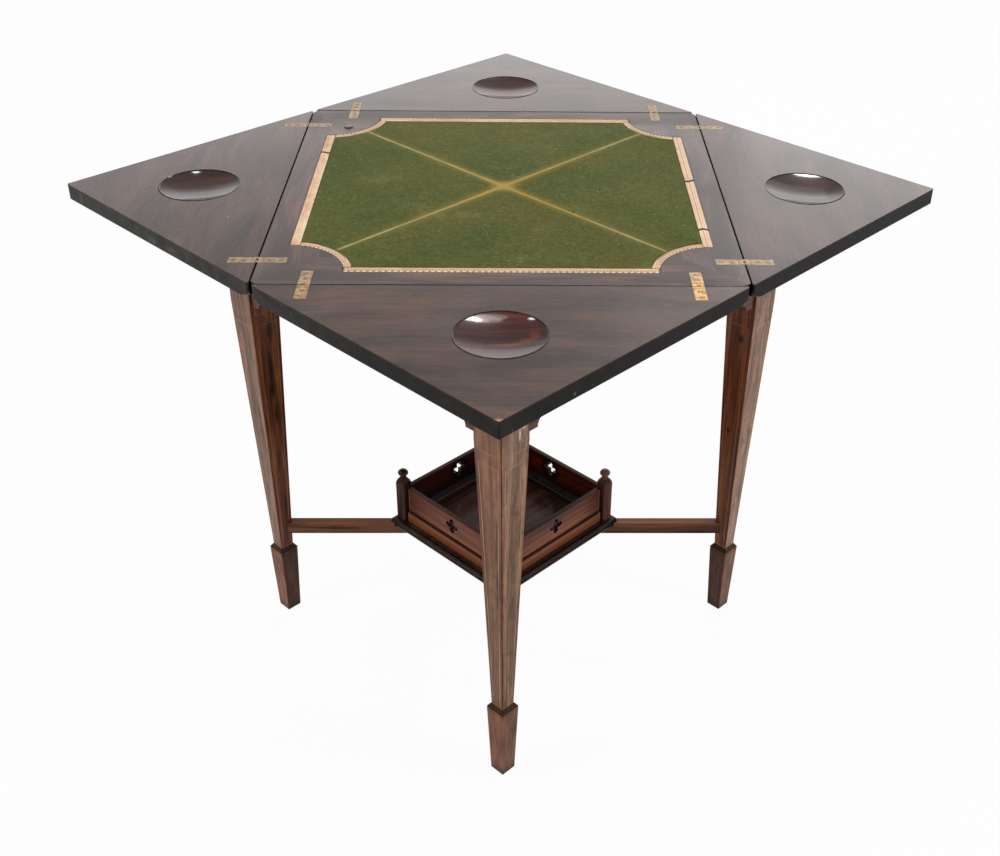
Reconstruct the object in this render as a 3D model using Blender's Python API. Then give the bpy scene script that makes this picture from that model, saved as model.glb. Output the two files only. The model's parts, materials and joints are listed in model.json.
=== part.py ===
"""Envelope card table, standing open.

Metres, +Z up, origin on the floor under the swivel. The camera side is -Y.
The top square lies along X and Y. The base is turned from it by a half
quarter, so a leg stands on each axis. Base pieces are worked out in base
axes, in which the legs stand at the corners of a square, and then turned.
"""

import math

import bmesh
import bpy
from mathutils import Matrix

# Clearances
fit_gap = 0.0003
bolt_clearance = 0.0001
fold_lift = 0.0005
cutter_overrun = 0.004

# Top board and leaves
top_height = 0.729
board_thickness = 0.021
top_half = 0.290
joint_gap = 0.0012
board_corner_radius = 0.012
leaf_reach = 0.2890
leaf_end_radius = 0.002
leaf_tip_radius = 0.0022
leaf_end_curve = 0.013
edge_softening = 0.0007

# Counter wells
well_setback = 0.114
well_radius = 0.052
well_depth = 0.0072

# Baize and leather border
border_margin = 0.032
border_width = 0.0125
notch_radius = 0.072
lining_depth = 0.0020
baize_proud = 0.0002

# Strap hinges
hinge_inset = 0.063
strap_reach = 0.0350
strap_width = 0.0142
strap_thickness = 0.0020
knuckle_radius = 0.0015
knuckle_clearance = 0.0004
pin_radius = 0.0007
pin_bore_radius = 0.0010
knuckle_share = 0.34

# Leaf lifter, in from the back left corner of the border
lifter_inset_x = 0.0285
lifter_inset_y = 0.0390
lifter_radius = 0.0060
lifter_proud = 0.0020
lifter_length = 0.0195
lifter_dome = 0.0008

# Swivel
flange_radius = 0.035
flange_thickness = 0.003
bolt_radius = 0.006
bolt_tail = 0.022
washer_radius = 0.014
washer_thickness = 0.0025
nut_radius = 0.0105
nut_thickness = 0.009
nut_sides = 6
rail_width = 0.070
rail_depth = 0.025

# Legs
leg_distance = 0.349
leg_top_side = 0.0475
leg_ankle_side = 0.0216
leg_taper_start = 0.556
leg_arris = 0.0006
collar_side = 0.0308
collar_top = 0.1190
collar_chamfer = 0.0065
collar_land = 0.0035
groove_depth = 0.0009
groove_height = 0.0016
foot_side = 0.0236
foot_softening = 0.0010

# Aprons and their brackets
apron_depth = 0.1275
apron_thickness = 0.018
apron_recess = 0.0030
tenon_thickness = 0.008
tenon_length = 0.015
bracket_drop = 0.0160
bracket_flat = 0.0160

# Stretcher rails
stretcher_width = 0.014
stretcher_bottom = 0.1495
stretcher_height = 0.0195

# Tray
tray_bottom = 0.1630
tray_thickness = 0.0140
tray_half = 0.1252
floor_rise = 0.0006
wall_outer = 0.1103
wall_inner = 0.1023
wall_height = 0.0590
band_outer = 0.1130
band_height = 0.0155
band_slope = 0.0020
ledge_groove = 0.0013
ledge_height = 0.0018
wall_softening = 0.0008
heart_radius = 0.0062
lobe_radius = 0.0046
lobe_distance = 0.0080
lobe_rise = 0.0410
# Moulded edge of the tray board: shares of its thickness, up and then in
edge_profile_shares = (
    (0.0, 0.21), (0.08, 0.09), (0.30, 0.0), (0.46, 0.04), (0.50, 0.14), (0.55, 0.14),
    (0.59, 0.06), (0.76, 0.03), (0.91, 0.14), (0.98, 0.32), (1.0, 0.46),
)

# Tray posts
post_distance = 0.1545
post_side = 0.0190
post_chamfer = 0.0026
post_shoulder = 0.0660
post_cap_rise = 0.0045
post_cap_top = 0.0095
cap_side = 0.0164
cap_top_side = 0.0088
neck_radius = 0.0036
neck_rise = 0.0125
knob_base_rise = 0.0140
knob_radius = 0.0080
knob_height = 0.0100
# Shares of the knob's radius and of its height
knob_profile_shares = (
    (0.72, 0.06), (0.94, 0.24), (1.0, 0.42), (0.93, 0.64), (0.68, 0.86), (0.34, 0.97), (0.06, 1.0),
)

# Number of flats on round shapes
ring_count = 32
well_count = 64
well_steps = 10
pin_count = 16
arc_steps = 8

half_turn = math.pi
quarter_turn = math.pi / 2
eighth_turn = math.pi / 4

leaf_names = ("right", "back", "left", "front")
leg_names = ("back", "left", "front", "right")
side_names = ("back_left", "front_left", "front_right", "back_right")


def clear_scene():
    for item in list(bpy.data.objects):
        bpy.data.objects.remove(item, do_unlink=True)
    for block in (bpy.data.meshes, bpy.data.materials):
        for item in list(block):
            block.remove(item)


def make_material(name, colour, roughness, metallic=0.0):
    material = bpy.data.materials.new(name)
    material.use_nodes = True
    shader = material.node_tree.nodes["Principled BSDF"]
    shader.inputs["Base Color"].default_value = (*colour, 1.0)
    shader.inputs["Roughness"].default_value = roughness
    shader.inputs["Metallic"].default_value = metallic
    return material


def add_object(name, build, material, place=None, smooth=False):
    """Make one closed mesh object from a bmesh and place it."""
    bmesh.ops.recalc_face_normals(build, faces=build.faces)
    mesh = bpy.data.meshes.new(name)
    build.to_mesh(mesh)
    build.free()
    item = bpy.data.objects.new(name, mesh)
    bpy.context.scene.collection.objects.link(item)
    if material is not None:
        mesh.materials.append(material)
    if place is not None:
        item.matrix_world = place
    if smooth:
        mesh.shade_smooth()
        mesh.set_sharp_from_angle(angle=math.radians(40))
    return item


def loft(rings, loop=False):
    """Skin a stack of rings. Both ends are capped, or joined if loop is set."""
    build = bmesh.new()
    rows = [[build.verts.new(point) for point in ring] for ring in rings]
    count = len(rows[0])
    pairs = list(zip(rows, rows[1:]))
    if loop:
        pairs.append((rows[-1], rows[0]))
    for low, high in pairs:
        for i in range(count):
            j = (i + 1) % count
            build.faces.new((low[i], low[j], high[j], high[i]))
    if not loop:
        build.faces.new(list(reversed(rows[0])))
        build.faces.new(rows[-1])
    return build


def slab(outline, low, high):
    """Prism on a plan outline, between two heights."""
    return loft([[(x, y, z) for x, y in outline] for z in (low, high)])


def box_outline(x_low, x_high, y_low, y_high):
    return [(x_low, y_low), (x_high, y_low), (x_high, y_high), (x_low, y_high)]


def circle(radius, count, phase=0.0):
    full = 2 * half_turn
    return [
        (radius * math.cos(full * i / count + phase), radius * math.sin(full * i / count + phase))
        for i in range(count)
    ]


def turned(profile, count, loop=False):
    """Solid of revolution about Z from (radius, height) points. A loop has a bore."""
    return loft([[(x, y, z) for x, y in circle(r, count)] for r, z in profile], loop)


def fillet(outline, radii, steps=arc_steps):
    """Round the corners of a convex or re-entrant outline."""
    result = []
    count = len(outline)
    for i, (x, y) in enumerate(outline):
        radius = radii[i]
        if radius <= 0:
            result.append((x, y))
            continue
        back_x, back_y = outline[i - 1][0] - x, outline[i - 1][1] - y
        next_x, next_y = outline[(i + 1) % count][0] - x, outline[(i + 1) % count][1] - y
        back_size = math.hypot(back_x, back_y)
        next_size = math.hypot(next_x, next_y)
        back_x, back_y = back_x / back_size, back_y / back_size
        next_x, next_y = next_x / next_size, next_y / next_size
        corner = math.acos(back_x * next_x + back_y * next_y)
        cut = radius / math.tan(corner / 2)
        mid_x, mid_y = back_x + next_x, back_y + next_y
        mid_size = math.hypot(mid_x, mid_y)
        reach = radius / math.sin(corner / 2)
        centre = (x + mid_x / mid_size * reach, y + mid_y / mid_size * reach)
        first = math.atan2(y + back_y * cut - centre[1], x + back_x * cut - centre[0])
        last = math.atan2(y + next_y * cut - centre[1], x + next_x * cut - centre[0])
        sweep = (last - first + half_turn) % (2 * half_turn) - half_turn
        for step in range(steps + 1):
            angle = first + sweep * step / steps
            result.append((centre[0] + radius * math.cos(angle),
                           centre[1] + radius * math.sin(angle)))
    return result


def soften(item, width):
    """Small bevel on the sharp rims."""
    bevel = item.modifiers.new("softened_rims", "BEVEL")
    bevel.width = width
    bevel.segments = 2
    bevel.limit_method = "ANGLE"
    bevel.angle_limit = math.radians(50)


def combine(item, tool, operation="DIFFERENCE"):
    """Cut or join with a hidden tool object."""
    tool.hide_render = True
    tool.display_type = "WIRE"
    change = item.modifiers.new(tool.name, "BOOLEAN")
    change.operation = operation
    change.solver = "EXACT"
    change.object = tool


def side_turn(index):
    """Turn from the +X side to side number index, counted anticlockwise."""
    return Matrix.Rotation(quarter_turn * index, 4, "Z")


def base_turn(index):
    """Turn from base axes to the row frame, for corner or side number index."""
    return Matrix.Rotation(eighth_turn + quarter_turn * index, 4, "Z")


# Heights that follow from the dimensions
top_underside = top_height - board_thickness
frame_top = top_underside - fit_gap
hinge_height = top_height + fold_lift
apron_bottom = frame_top - apron_depth
bracket_bottom = apron_bottom - bracket_drop
tray_floor = tray_bottom + tray_thickness
ledge_top = tray_floor - floor_rise
wall_bottom = ledge_top + fit_gap
stretcher_top = stretcher_bottom + stretcher_height
lining_floor = top_height - lining_depth

# Plan places that follow from the dimensions
border_half = top_half - border_margin
hinge_offset = top_half - hinge_inset
lifter_x = lifter_inset_x - border_half
lifter_y = border_half - lifter_inset_y
well_distance = top_half + well_setback
leg_offset = leg_distance / math.sqrt(2)
leg_half = leg_top_side / 2
leg_inner = leg_offset - leg_half
apron_outer = leg_offset + leg_half - apron_recess
apron_inner = apron_outer - apron_thickness
tenon_middle = (apron_outer + apron_inner) / 2
post_offset = post_distance / math.sqrt(2)
post_half = post_side / 2


def leg_half_at(height):
    """Half of the leg's side at a height on its taper."""
    taper_low = collar_top + collar_chamfer
    share = (height - taper_low) / (leg_taper_start - taper_low)
    return (leg_ankle_side + (leg_top_side - leg_ankle_side) * share) / 2


def notched_square(half, radius, steps=arc_steps * 2):
    """Square outline whose corners are quarter rounds that curve inwards."""
    result = []
    for index in range(4):
        turn = quarter_turn * index
        centre = (border_half * math.sqrt(2) * math.cos(turn + eighth_turn),
                  border_half * math.sqrt(2) * math.sin(turn + eighth_turn))
        # Where the arc meets the two straight sides beside its corner
        inset = border_half - half
        lean = math.asin(inset / radius)
        first = turn - quarter_turn - lean
        last = turn - half_turn + lean
        for step in range(steps + 1):
            angle = first + (last - first) * step / steps
            result.append((centre[0] + radius * math.cos(angle),
                           centre[1] + radius * math.sin(angle)))
    return result


def strap_pocket(name, side, offset, inward):
    """Cutter for one plate of a hinge. Inward plates lie in the board."""
    far = strap_reach + fit_gap
    half = strap_width / 2 + fit_gap
    if inward:
        ends = (top_half - far, top_half + cutter_overrun)
    else:
        ends = (top_half - cutter_overrun, top_half + far)
    outline = box_outline(ends[0], ends[1], offset - half, offset + half)
    floor = top_height - strap_thickness - fit_gap
    return add_object(name, slab(outline, floor, top_height + cutter_overrun), None, side)


def strap_plate(name, side, offset, inward, materials):
    """One plate of a strap hinge, with its share of the knuckle."""
    half = strap_width / 2
    inner_half = strap_width * knuckle_share / 2
    clear = knuckle_radius + knuckle_clearance
    sign = -1 if inward else 1
    if inward:
        reaches = (0.0, clear, 0.0)
    else:
        reaches = (clear, pin_bore_radius + fit_gap / 2, clear)
    step = inner_half + fit_gap / 2 if inward else inner_half - fit_gap / 2
    along = [
        (strap_reach, -half), (reaches[0], -half), (reaches[0], -step), (reaches[1], -step),
        (reaches[1], step), (reaches[2], step), (reaches[2], half), (strap_reach, half),
    ]
    outline = [(top_half + sign * s, offset + w) for s, w in along]
    plate = add_object(name, slab(outline, top_height - strap_thickness, top_height),
                       materials["brass"], side)
    if inward:
        profile = [
            (knuckle_radius, -half), (knuckle_radius, -inner_half - fit_gap / 2),
            (pin_radius, -inner_half - fit_gap / 2), (pin_radius, inner_half + fit_gap / 2),
            (knuckle_radius, inner_half + fit_gap / 2), (knuckle_radius, half),
        ]
        build = turned(profile, pin_count)
    else:
        reach = inner_half - fit_gap / 2
        profile = [
            (pin_bore_radius, -reach), (knuckle_radius, -reach),
            (knuckle_radius, reach), (pin_bore_radius, reach),
        ]
        build = turned(profile, pin_count, loop=True)
    lie = Matrix.Translation((top_half, offset, hinge_height)) @ Matrix.Rotation(
        -quarter_turn, 4, "X")
    knuckle = add_object(name + "_knuckle", build, materials["brass"], side @ lie)
    combine(plate, knuckle, "UNION")
    return plate


def well_cutter(name, side):
    """Dished recess for counters: a shallow bowl that steepens evenly to its rim."""
    rings = []
    floor = top_height - well_depth
    for step in range(1, well_steps + 1):
        share = step / well_steps
        height = floor + well_depth * share ** 2
        rings.append([(x + well_distance, y, height)
                      for x, y in circle(well_radius * share, well_count)])
    rings.append([(x + well_distance, y, top_height + cutter_overrun)
                  for x, y in circle(well_radius, well_count)])
    return add_object(name, loft(rings), None, side)


def end_cutter(name, side, sign):
    """Rounds the underside of a leaf at one end of its joint."""
    end = leaf_reach - joint_gap / 2
    # The rounded plan corner already ends short of the sharp one
    end = end - leaf_end_radius * (1 / math.tan(eighth_turn / 2) - 1)
    low = top_underside
    radius = leaf_end_curve
    centre_w, centre_z = end - radius, low + radius
    outline = [(centre_w, low - cutter_overrun)]
    for step in range(arc_steps + 1):
        angle = -quarter_turn + quarter_turn * step / arc_steps
        outline.append((centre_w + radius * math.cos(angle), centre_z + radius * math.sin(angle)))
    outline.append((end + cutter_overrun, centre_z))
    outline.append((end + cutter_overrun, low - cutter_overrun))
    start = top_half - cutter_overrun
    stop = top_half + leaf_reach
    rings = [[(x, sign * w, z) for w, z in outline] for x in (start, stop)]
    return add_object(name, loft(rings), None, side)


def build_leaves(materials):
    for index, word in enumerate(leaf_names):
        side = side_turn(index)
        near = top_half + joint_gap / 2
        end = leaf_reach - joint_gap / 2
        outline = fillet(
            [(near, -end), (top_half + leaf_reach, 0.0), (near, end)],
            [leaf_end_radius, leaf_tip_radius, leaf_end_radius])
        leaf = add_object("leaf_" + word, slab(outline, top_underside, top_height),
                          materials["rosewood_leaf"], side)
        # The joint is the leaf's own origin
        pivot = side @ Matrix.Translation((top_half, 0.0, hinge_height))
        leaf.data.transform((side.inverted() @ pivot).inverted())
        leaf.matrix_world = pivot
        for sign, tail in ((-1, "low"), (1, "high")):
            combine(leaf, end_cutter("cut_end_" + word + "_" + tail, side, sign))
        soften(leaf, edge_softening)
        combine(leaf, well_cutter("cut_well_" + word, side))
        for sign, tail in ((-1, "low"), (1, "high")):
            pocket = strap_pocket("cut_strap_leaf_" + word + "_" + tail, side,
                                  sign * hinge_offset, False)
            combine(leaf, pocket)
            plate = strap_plate("hinge_leaf_plate_" + word + "_" + tail, side,
                                sign * hinge_offset, False, materials)
            plate.parent = leaf
            plate.matrix_parent_inverse = pivot.inverted()


def build_top(materials):
    reach = top_half - joint_gap / 2
    outline = fillet(box_outline(-reach, reach, -reach, reach), [board_corner_radius] * 4)
    board = add_object("top_board", slab(outline, top_underside, top_height),
                       materials["rosewood_top"])
    soften(board, edge_softening)
    recess = add_object("cut_lining", slab(
        notched_square(border_half + fit_gap, notch_radius - fit_gap),
        lining_floor, top_height + cutter_overrun), None)
    combine(board, recess)
    for index, word in enumerate(leaf_names):
        side = side_turn(index)
        for sign, tail in ((-1, "low"), (1, "high")):
            pocket = strap_pocket("cut_strap_board_" + word + "_" + tail, side,
                                  sign * hinge_offset, True)
            combine(board, pocket)
            strap_plate("hinge_board_plate_" + word + "_" + tail, side,
                        sign * hinge_offset, True, materials)
    hole = circle(lifter_radius + fit_gap, ring_count)
    lifter_hole = add_object("cut_lifter", slab(
        [(x + lifter_x, y + lifter_y) for x, y in hole],
        top_underside - cutter_overrun, top_height + cutter_overrun), None)
    combine(board, lifter_hole)
    seat = add_object("cut_flange", slab(
        circle(flange_radius + fit_gap, ring_count), top_underside - cutter_overrun,
        top_underside + flange_thickness + fit_gap), None)
    combine(board, seat)

    # Leather border as a flat ring, and the baize inside it
    lining_low = lining_floor + fit_gap
    outer = notched_square(border_half, notch_radius)
    inner = notched_square(border_half - border_width, notch_radius + border_width)
    rings = [
        [(x, y, lining_low) for x, y in outer], [(x, y, top_height) for x, y in outer],
        [(x, y, top_height) for x, y in inner], [(x, y, lining_low) for x, y in inner],
    ]
    add_object("leather_border", loft(rings, loop=True), materials["leather"])
    inset = border_width + fit_gap
    add_object("baize_panel", slab(
        notched_square(border_half - inset, notch_radius + inset),
        lining_low, top_height + baize_proud), materials["baize"])


def build_lifter(materials):
    high = top_height + lifter_proud
    profile = [(lifter_radius, -lifter_length), (lifter_radius, -lifter_dome),
               (lifter_radius - lifter_dome, 0.0)]
    add_object("lifter_peg", turned(profile, ring_count), materials["ebony"],
               Matrix.Translation((lifter_x, lifter_y, high)), smooth=True)


def build_swivel(materials):
    rail_bottom = frame_top - rail_depth
    reach = apron_inner - fit_gap
    rail = add_object("pivot_rail", slab(
        box_outline(-reach, reach, -rail_width / 2, rail_width / 2), rail_bottom, frame_top),
        materials["carcase_wood"], base_turn(0))
    bore = add_object("cut_pivot_bore", slab(
        circle(bolt_radius + bolt_clearance, ring_count), rail_bottom - cutter_overrun,
        frame_top + cutter_overrun), None)
    combine(rail, bore)

    profile = [
        (bolt_radius, rail_bottom - bolt_tail), (bolt_radius, top_underside),
        (flange_radius, top_underside), (flange_radius, top_underside + flange_thickness),
    ]
    add_object("pivot_bolt", turned(profile, ring_count), materials["steel"], smooth=True)

    washer_top = rail_bottom - fit_gap
    bore_radius = bolt_radius + bolt_clearance
    washer_low = washer_top - washer_thickness
    profile = [(bore_radius, washer_low), (washer_radius, washer_low),
               (washer_radius, washer_top), (bore_radius, washer_top)]
    add_object("pivot_washer", turned(profile, ring_count, loop=True), materials["steel"],
               smooth=True)

    nut_top = washer_low - fit_gap
    nut = add_object("pivot_nut", slab(
        circle(nut_radius, nut_sides), nut_top - nut_thickness, nut_top), materials["steel"])
    nut_bore = add_object("cut_nut_bore", slab(
        circle(bore_radius, ring_count), nut_top - nut_thickness - cutter_overrun,
        nut_top + cutter_overrun), None)
    combine(nut, nut_bore)


def square_ring(half, cut, height, centre):
    """Square with small flats on its corners, as eight points."""
    x, y = centre
    near = half - cut
    return [
        (x + half, y - near, height), (x + half, y + near, height),
        (x + near, y + half, height), (x - near, y + half, height),
        (x - half, y + near, height), (x - half, y - near, height),
        (x - near, y - half, height), (x + near, y - half, height),
    ]


def build_legs(materials):
    collar_half = collar_side / 2
    foot_half = foot_side / 2
    land_low = collar_top - collar_land
    groove_low = land_low - groove_height

    def foot_half_at(height):
        return foot_half + (collar_half - foot_half) * height / land_low

    stages = [
        (0.0, foot_half - foot_softening), (foot_softening, foot_half),
        (groove_low, foot_half_at(groove_low)),
        (groove_low + groove_height / 4, foot_half_at(groove_low) - groove_depth),
        (land_low - groove_height / 4, collar_half - groove_depth),
        (land_low, collar_half), (collar_top, collar_half),
        (collar_top + collar_chamfer, leg_ankle_side / 2),
        (leg_taper_start, leg_half), (frame_top, leg_half),
    ]
    for index, word in enumerate(leg_names):
        turn = base_turn(index)
        centre = (leg_offset, leg_offset)
        rings = [square_ring(half, leg_arris, height, centre) for height, half in stages]
        leg = add_object("leg_" + word, loft(rings), materials["rosewood_leg"], turn)
        slot_half = tenon_thickness / 2 + fit_gap
        slot_end = leg_inner + tenon_length + fit_gap
        slot = box_outline(leg_inner - cutter_overrun, slot_end,
                           tenon_middle - slot_half, tenon_middle + slot_half)
        for tail, outline in (("u", slot), ("v", [(y, x) for x, y in slot])):
            build = slab(outline, apron_bottom - fit_gap, frame_top + cutter_overrun)
            combine(leg, add_object("cut_slot_" + word + "_" + tail, build, None, turn))


def build_aprons(materials):
    face = leg_inner - fit_gap
    tip = leg_inner + tenon_length
    tenon_low = tenon_middle - tenon_thickness / 2
    tenon_high = tenon_middle + tenon_thickness / 2
    right = [
        (face, apron_inner), (face, tenon_low), (tip, tenon_low),
        (tip, tenon_high), (face, tenon_high), (face, apron_outer),
    ]
    outline = right + [(-x, y) for x, y in reversed(right)]
    corner = leg_inner - fit_gap
    high = apron_bottom - fit_gap
    for index, word in enumerate(side_names):
        turn = base_turn(index)
        add_object("apron_" + word, slab(outline, apron_bottom, frame_top),
                   materials["rosewood_frame"], turn)
        for sign, tail in ((1, "low"), (-1, "high")):
            profile = [(corner, high), (corner, bracket_bottom)]
            middle = corner - bracket_flat - bracket_drop
            for step in range(arc_steps + 1):
                angle = quarter_turn * step / arc_steps
                rise = (high - bracket_bottom) * math.sin(angle)
                profile.append((middle + bracket_drop * math.cos(angle), bracket_bottom + rise))
            rings = [[(sign * u, v, z) for u, z in profile] for v in (apron_inner, apron_outer)]
            add_object("bracket_" + word + "_" + tail, loft(rings),
                       materials["rosewood_frame"], turn)


def build_stretchers(materials):
    half = stretcher_width / 2
    slack = fit_gap * math.sqrt(2)

    def end_ring(height):
        arris = leg_distance - (leg_half_at(height) * 2 - leg_arris) / math.sqrt(2) - slack
        corner = leg_distance - leg_half_at(height) * math.sqrt(2) - slack + half
        flat = leg_arris / math.sqrt(2)
        side = [(corner, -half), (arris, -flat), (arris, flat), (corner, half)]
        return [(x, y, height) for x, y in side + [(-x, -y) for x, y in side]]

    middle = (stretcher_bottom + tray_bottom) / 2
    reach = half + fit_gap
    seat_half = tray_half + fit_gap
    seat = slab(box_outline(-seat_half, seat_half, -seat_half, seat_half),
                tray_bottom - fit_gap, stretcher_top + cutter_overrun)
    seat_cutter = add_object("cut_tray_seat", seat, None, base_turn(0))
    laps = {
        "side": (middle - fit_gap / 2, stretcher_top + cutter_overrun),
        "long": (stretcher_bottom - cutter_overrun, middle + fit_gap / 2),
    }
    for index, (word, (low, high)) in enumerate(laps.items()):
        turn = side_turn(index)
        rail = add_object("stretcher_" + word, loft([end_ring(stretcher_bottom),
                                                     end_ring(stretcher_top)]),
                          materials["rosewood_stretcher"], turn)
        combine(rail, seat_cutter)
        lap = slab(box_outline(-reach, reach, -half - cutter_overrun, half + cutter_overrun),
                   low, high)
        combine(rail, add_object("cut_lap_" + word, lap, None, turn))


def quatrefoil(lobe_steps=arc_steps + 4, heart_steps=3):
    """Outline of four round lobes that open from a round middle."""
    meet = (lobe_distance ** 2 + heart_radius ** 2 - lobe_radius ** 2) / (2 * lobe_distance)
    rise = math.sqrt(heart_radius ** 2 - meet ** 2)
    sweep = math.atan2(rise, meet - lobe_distance)
    lean = math.atan2(rise, meet)
    corner = [(lobe_distance + lobe_radius * math.cos(sweep * share),
               lobe_radius * math.sin(sweep * share))
              for share in (2 * step / lobe_steps - 1 for step in range(lobe_steps + 1))]
    for step in range(1, heart_steps):
        angle = lean + (quarter_turn - 2 * lean) * step / heart_steps
        corner.append((heart_radius * math.cos(angle), heart_radius * math.sin(angle)))
    return [(x * c - z * s, x * s + z * c)
            for c, s in ((1, 0), (0, 1), (-1, 0), (0, -1)) for x, z in corner]


def build_tray(materials):
    rings = []
    for rise_share, inset_share in edge_profile_shares:
        reach = tray_half - tray_thickness * inset_share
        height = tray_bottom + (ledge_top - tray_bottom) * rise_share
        rings.append([(x, y, height) for x, y in box_outline(-reach, reach, -reach, reach)])
    board = add_object("tray_board", loft(rings), materials["rosewood_tray"], base_turn(0))
    # The floor stands a little proud inside the walls, and is notched round the posts
    far = wall_inner - fit_gap
    near = post_offset - post_half - fit_gap
    quarter = [(far, -near), (far, near), (near, near)]
    field = [(x * c - y * s, x * s + y * c) for c, s in ((1, 0), (0, 1), (-1, 0), (0, -1))
             for x, y in quarter]
    combine(board, add_object("join_floor_field", slab(
        field, tray_bottom + tray_thickness / 2, tray_floor), None, base_turn(0)), "UNION")

    wall_top = tray_floor + wall_height
    band_top = tray_floor + band_height
    groove_low = band_top + band_slope
    groove_high = groove_low + ledge_height
    profile = [
        (wall_inner, wall_bottom), (band_outer, wall_bottom), (band_outer, band_top),
        (wall_outer, groove_low), (wall_outer - ledge_groove, groove_low),
        (wall_outer - ledge_groove, groove_high), (wall_outer, groove_high + ledge_groove),
        (wall_outer, wall_top - wall_softening), (wall_outer - wall_softening, wall_top),
        (wall_inner + wall_softening, wall_top), (wall_inner, wall_top - wall_softening),
    ]
    for index, word in enumerate(side_names):
        turn = base_turn(index)
        rings = [[(u, v, z) for v, z in profile] for u in (-near, near)]
        wall = add_object("tray_wall_" + word, loft(rings), materials["rosewood_tray"], turn)
        low = wall_inner - cutter_overrun
        high = band_outer + cutter_overrun
        hole = [[(x, v, tray_floor + lobe_rise + z) for x, z in quatrefoil()]
                for v in (low, high)]
        combine(wall, add_object("cut_quatrefoil_" + word, loft(hole), None, turn))


def build_posts(materials):
    """Tray posts: a chamfered square shaft, a sloping cap and a turned knob."""
    per_side = ring_count // 4

    def square_loop(half, cut, height):
        loop = []
        for side in range(4):
            turn = quarter_turn * side
            for i in range(per_side):
                along = (half - cut) * (2 * i / (per_side - 1) - 1)
                loop.append((half * math.cos(turn) - along * math.sin(turn),
                             half * math.sin(turn) + along * math.cos(turn), height))
        return loop

    def round_loop(radius, height):
        phase = -eighth_turn + quarter_turn / per_side / 2
        return [(x, y, height) for x, y in circle(radius, ring_count, phase)]

    shoulder = tray_floor + post_shoulder
    knob_low = shoulder + knob_base_rise
    rings = [
        square_loop(post_half, post_chamfer, wall_bottom),
        square_loop(post_half, post_chamfer, shoulder),
        square_loop(cap_side / 2, post_chamfer, shoulder + post_cap_rise),
        square_loop(cap_top_side / 2, post_chamfer / 2, shoulder + post_cap_top),
        round_loop(neck_radius, shoulder + neck_rise),
        round_loop(neck_radius, knob_low),
    ]
    for width_share, rise_share in knob_profile_shares:
        rings.append(round_loop(knob_radius * width_share, knob_low + knob_height * rise_share))
    for index, word in enumerate(leg_names):
        place = base_turn(index) @ Matrix.Translation((post_offset, post_offset, 0.0))
        add_object("tray_post_" + word, loft(rings), materials["rosewood_post"], place,
                   smooth=True)


def main():
    clear_scene()
    materials = {
        "rosewood_top": make_material("rosewood_top", (0.105, 0.060, 0.048), 0.28),
        "rosewood_leaf": make_material("rosewood_leaf", (0.100, 0.058, 0.046), 0.28),
        "rosewood_leg": make_material("rosewood_leg", (0.160, 0.080, 0.050), 0.35),
        "rosewood_frame": make_material("rosewood_frame", (0.120, 0.055, 0.035), 0.35),
        "rosewood_stretcher": make_material("rosewood_stretcher", (0.110, 0.055, 0.035), 0.35),
        "rosewood_tray": make_material("rosewood_tray", (0.130, 0.045, 0.028), 0.35),
        "rosewood_post": make_material("rosewood_post", (0.090, 0.040, 0.028), 0.35),
        "carcase_wood": make_material("carcase_wood", (0.300, 0.170, 0.090), 0.60),
        "baize": make_material("baize", (0.100, 0.120, 0.035), 0.95),
        "leather": make_material("leather", (0.640, 0.360, 0.200), 0.60),
        "brass": make_material("brass", (0.600, 0.430, 0.210), 0.40, 1.0),
        "steel": make_material("steel", (0.300, 0.290, 0.280), 0.45, 1.0),
        "ebony": make_material("ebony", (0.060, 0.045, 0.040), 0.40),
    }
    build_top(materials)
    build_leaves(materials)
    build_lifter(materials)
    build_swivel(materials)
    build_legs(materials)
    build_aprons(materials)
    build_stretchers(materials)
    build_tray(materials)
    build_posts(materials)


main()
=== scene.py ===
"""Looks of an envelope card table, standing open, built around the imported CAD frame.

Metres, +Z up, the same frame as the CAD. The camera side is -Y.
"""

import json
import math
import random

import bmesh
import bpy
from mathutils import Matrix, Vector, noise

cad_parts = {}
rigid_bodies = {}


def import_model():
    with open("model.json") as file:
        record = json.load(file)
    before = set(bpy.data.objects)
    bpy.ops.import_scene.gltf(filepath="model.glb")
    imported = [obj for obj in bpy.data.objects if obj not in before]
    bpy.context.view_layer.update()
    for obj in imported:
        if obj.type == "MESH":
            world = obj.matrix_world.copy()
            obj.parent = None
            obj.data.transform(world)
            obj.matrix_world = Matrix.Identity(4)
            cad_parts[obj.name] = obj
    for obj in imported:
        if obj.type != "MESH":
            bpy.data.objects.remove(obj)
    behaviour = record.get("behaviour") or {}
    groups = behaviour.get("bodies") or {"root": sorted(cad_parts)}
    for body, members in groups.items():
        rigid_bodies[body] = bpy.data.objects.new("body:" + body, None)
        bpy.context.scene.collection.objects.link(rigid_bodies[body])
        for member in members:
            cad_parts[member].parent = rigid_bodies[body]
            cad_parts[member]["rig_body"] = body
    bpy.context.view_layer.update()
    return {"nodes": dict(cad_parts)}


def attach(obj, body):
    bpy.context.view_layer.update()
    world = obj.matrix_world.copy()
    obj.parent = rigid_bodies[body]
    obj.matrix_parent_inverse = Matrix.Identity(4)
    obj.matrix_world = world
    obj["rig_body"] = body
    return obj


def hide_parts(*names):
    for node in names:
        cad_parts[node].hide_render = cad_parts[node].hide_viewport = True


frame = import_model()
nodes = frame["nodes"]

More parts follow.
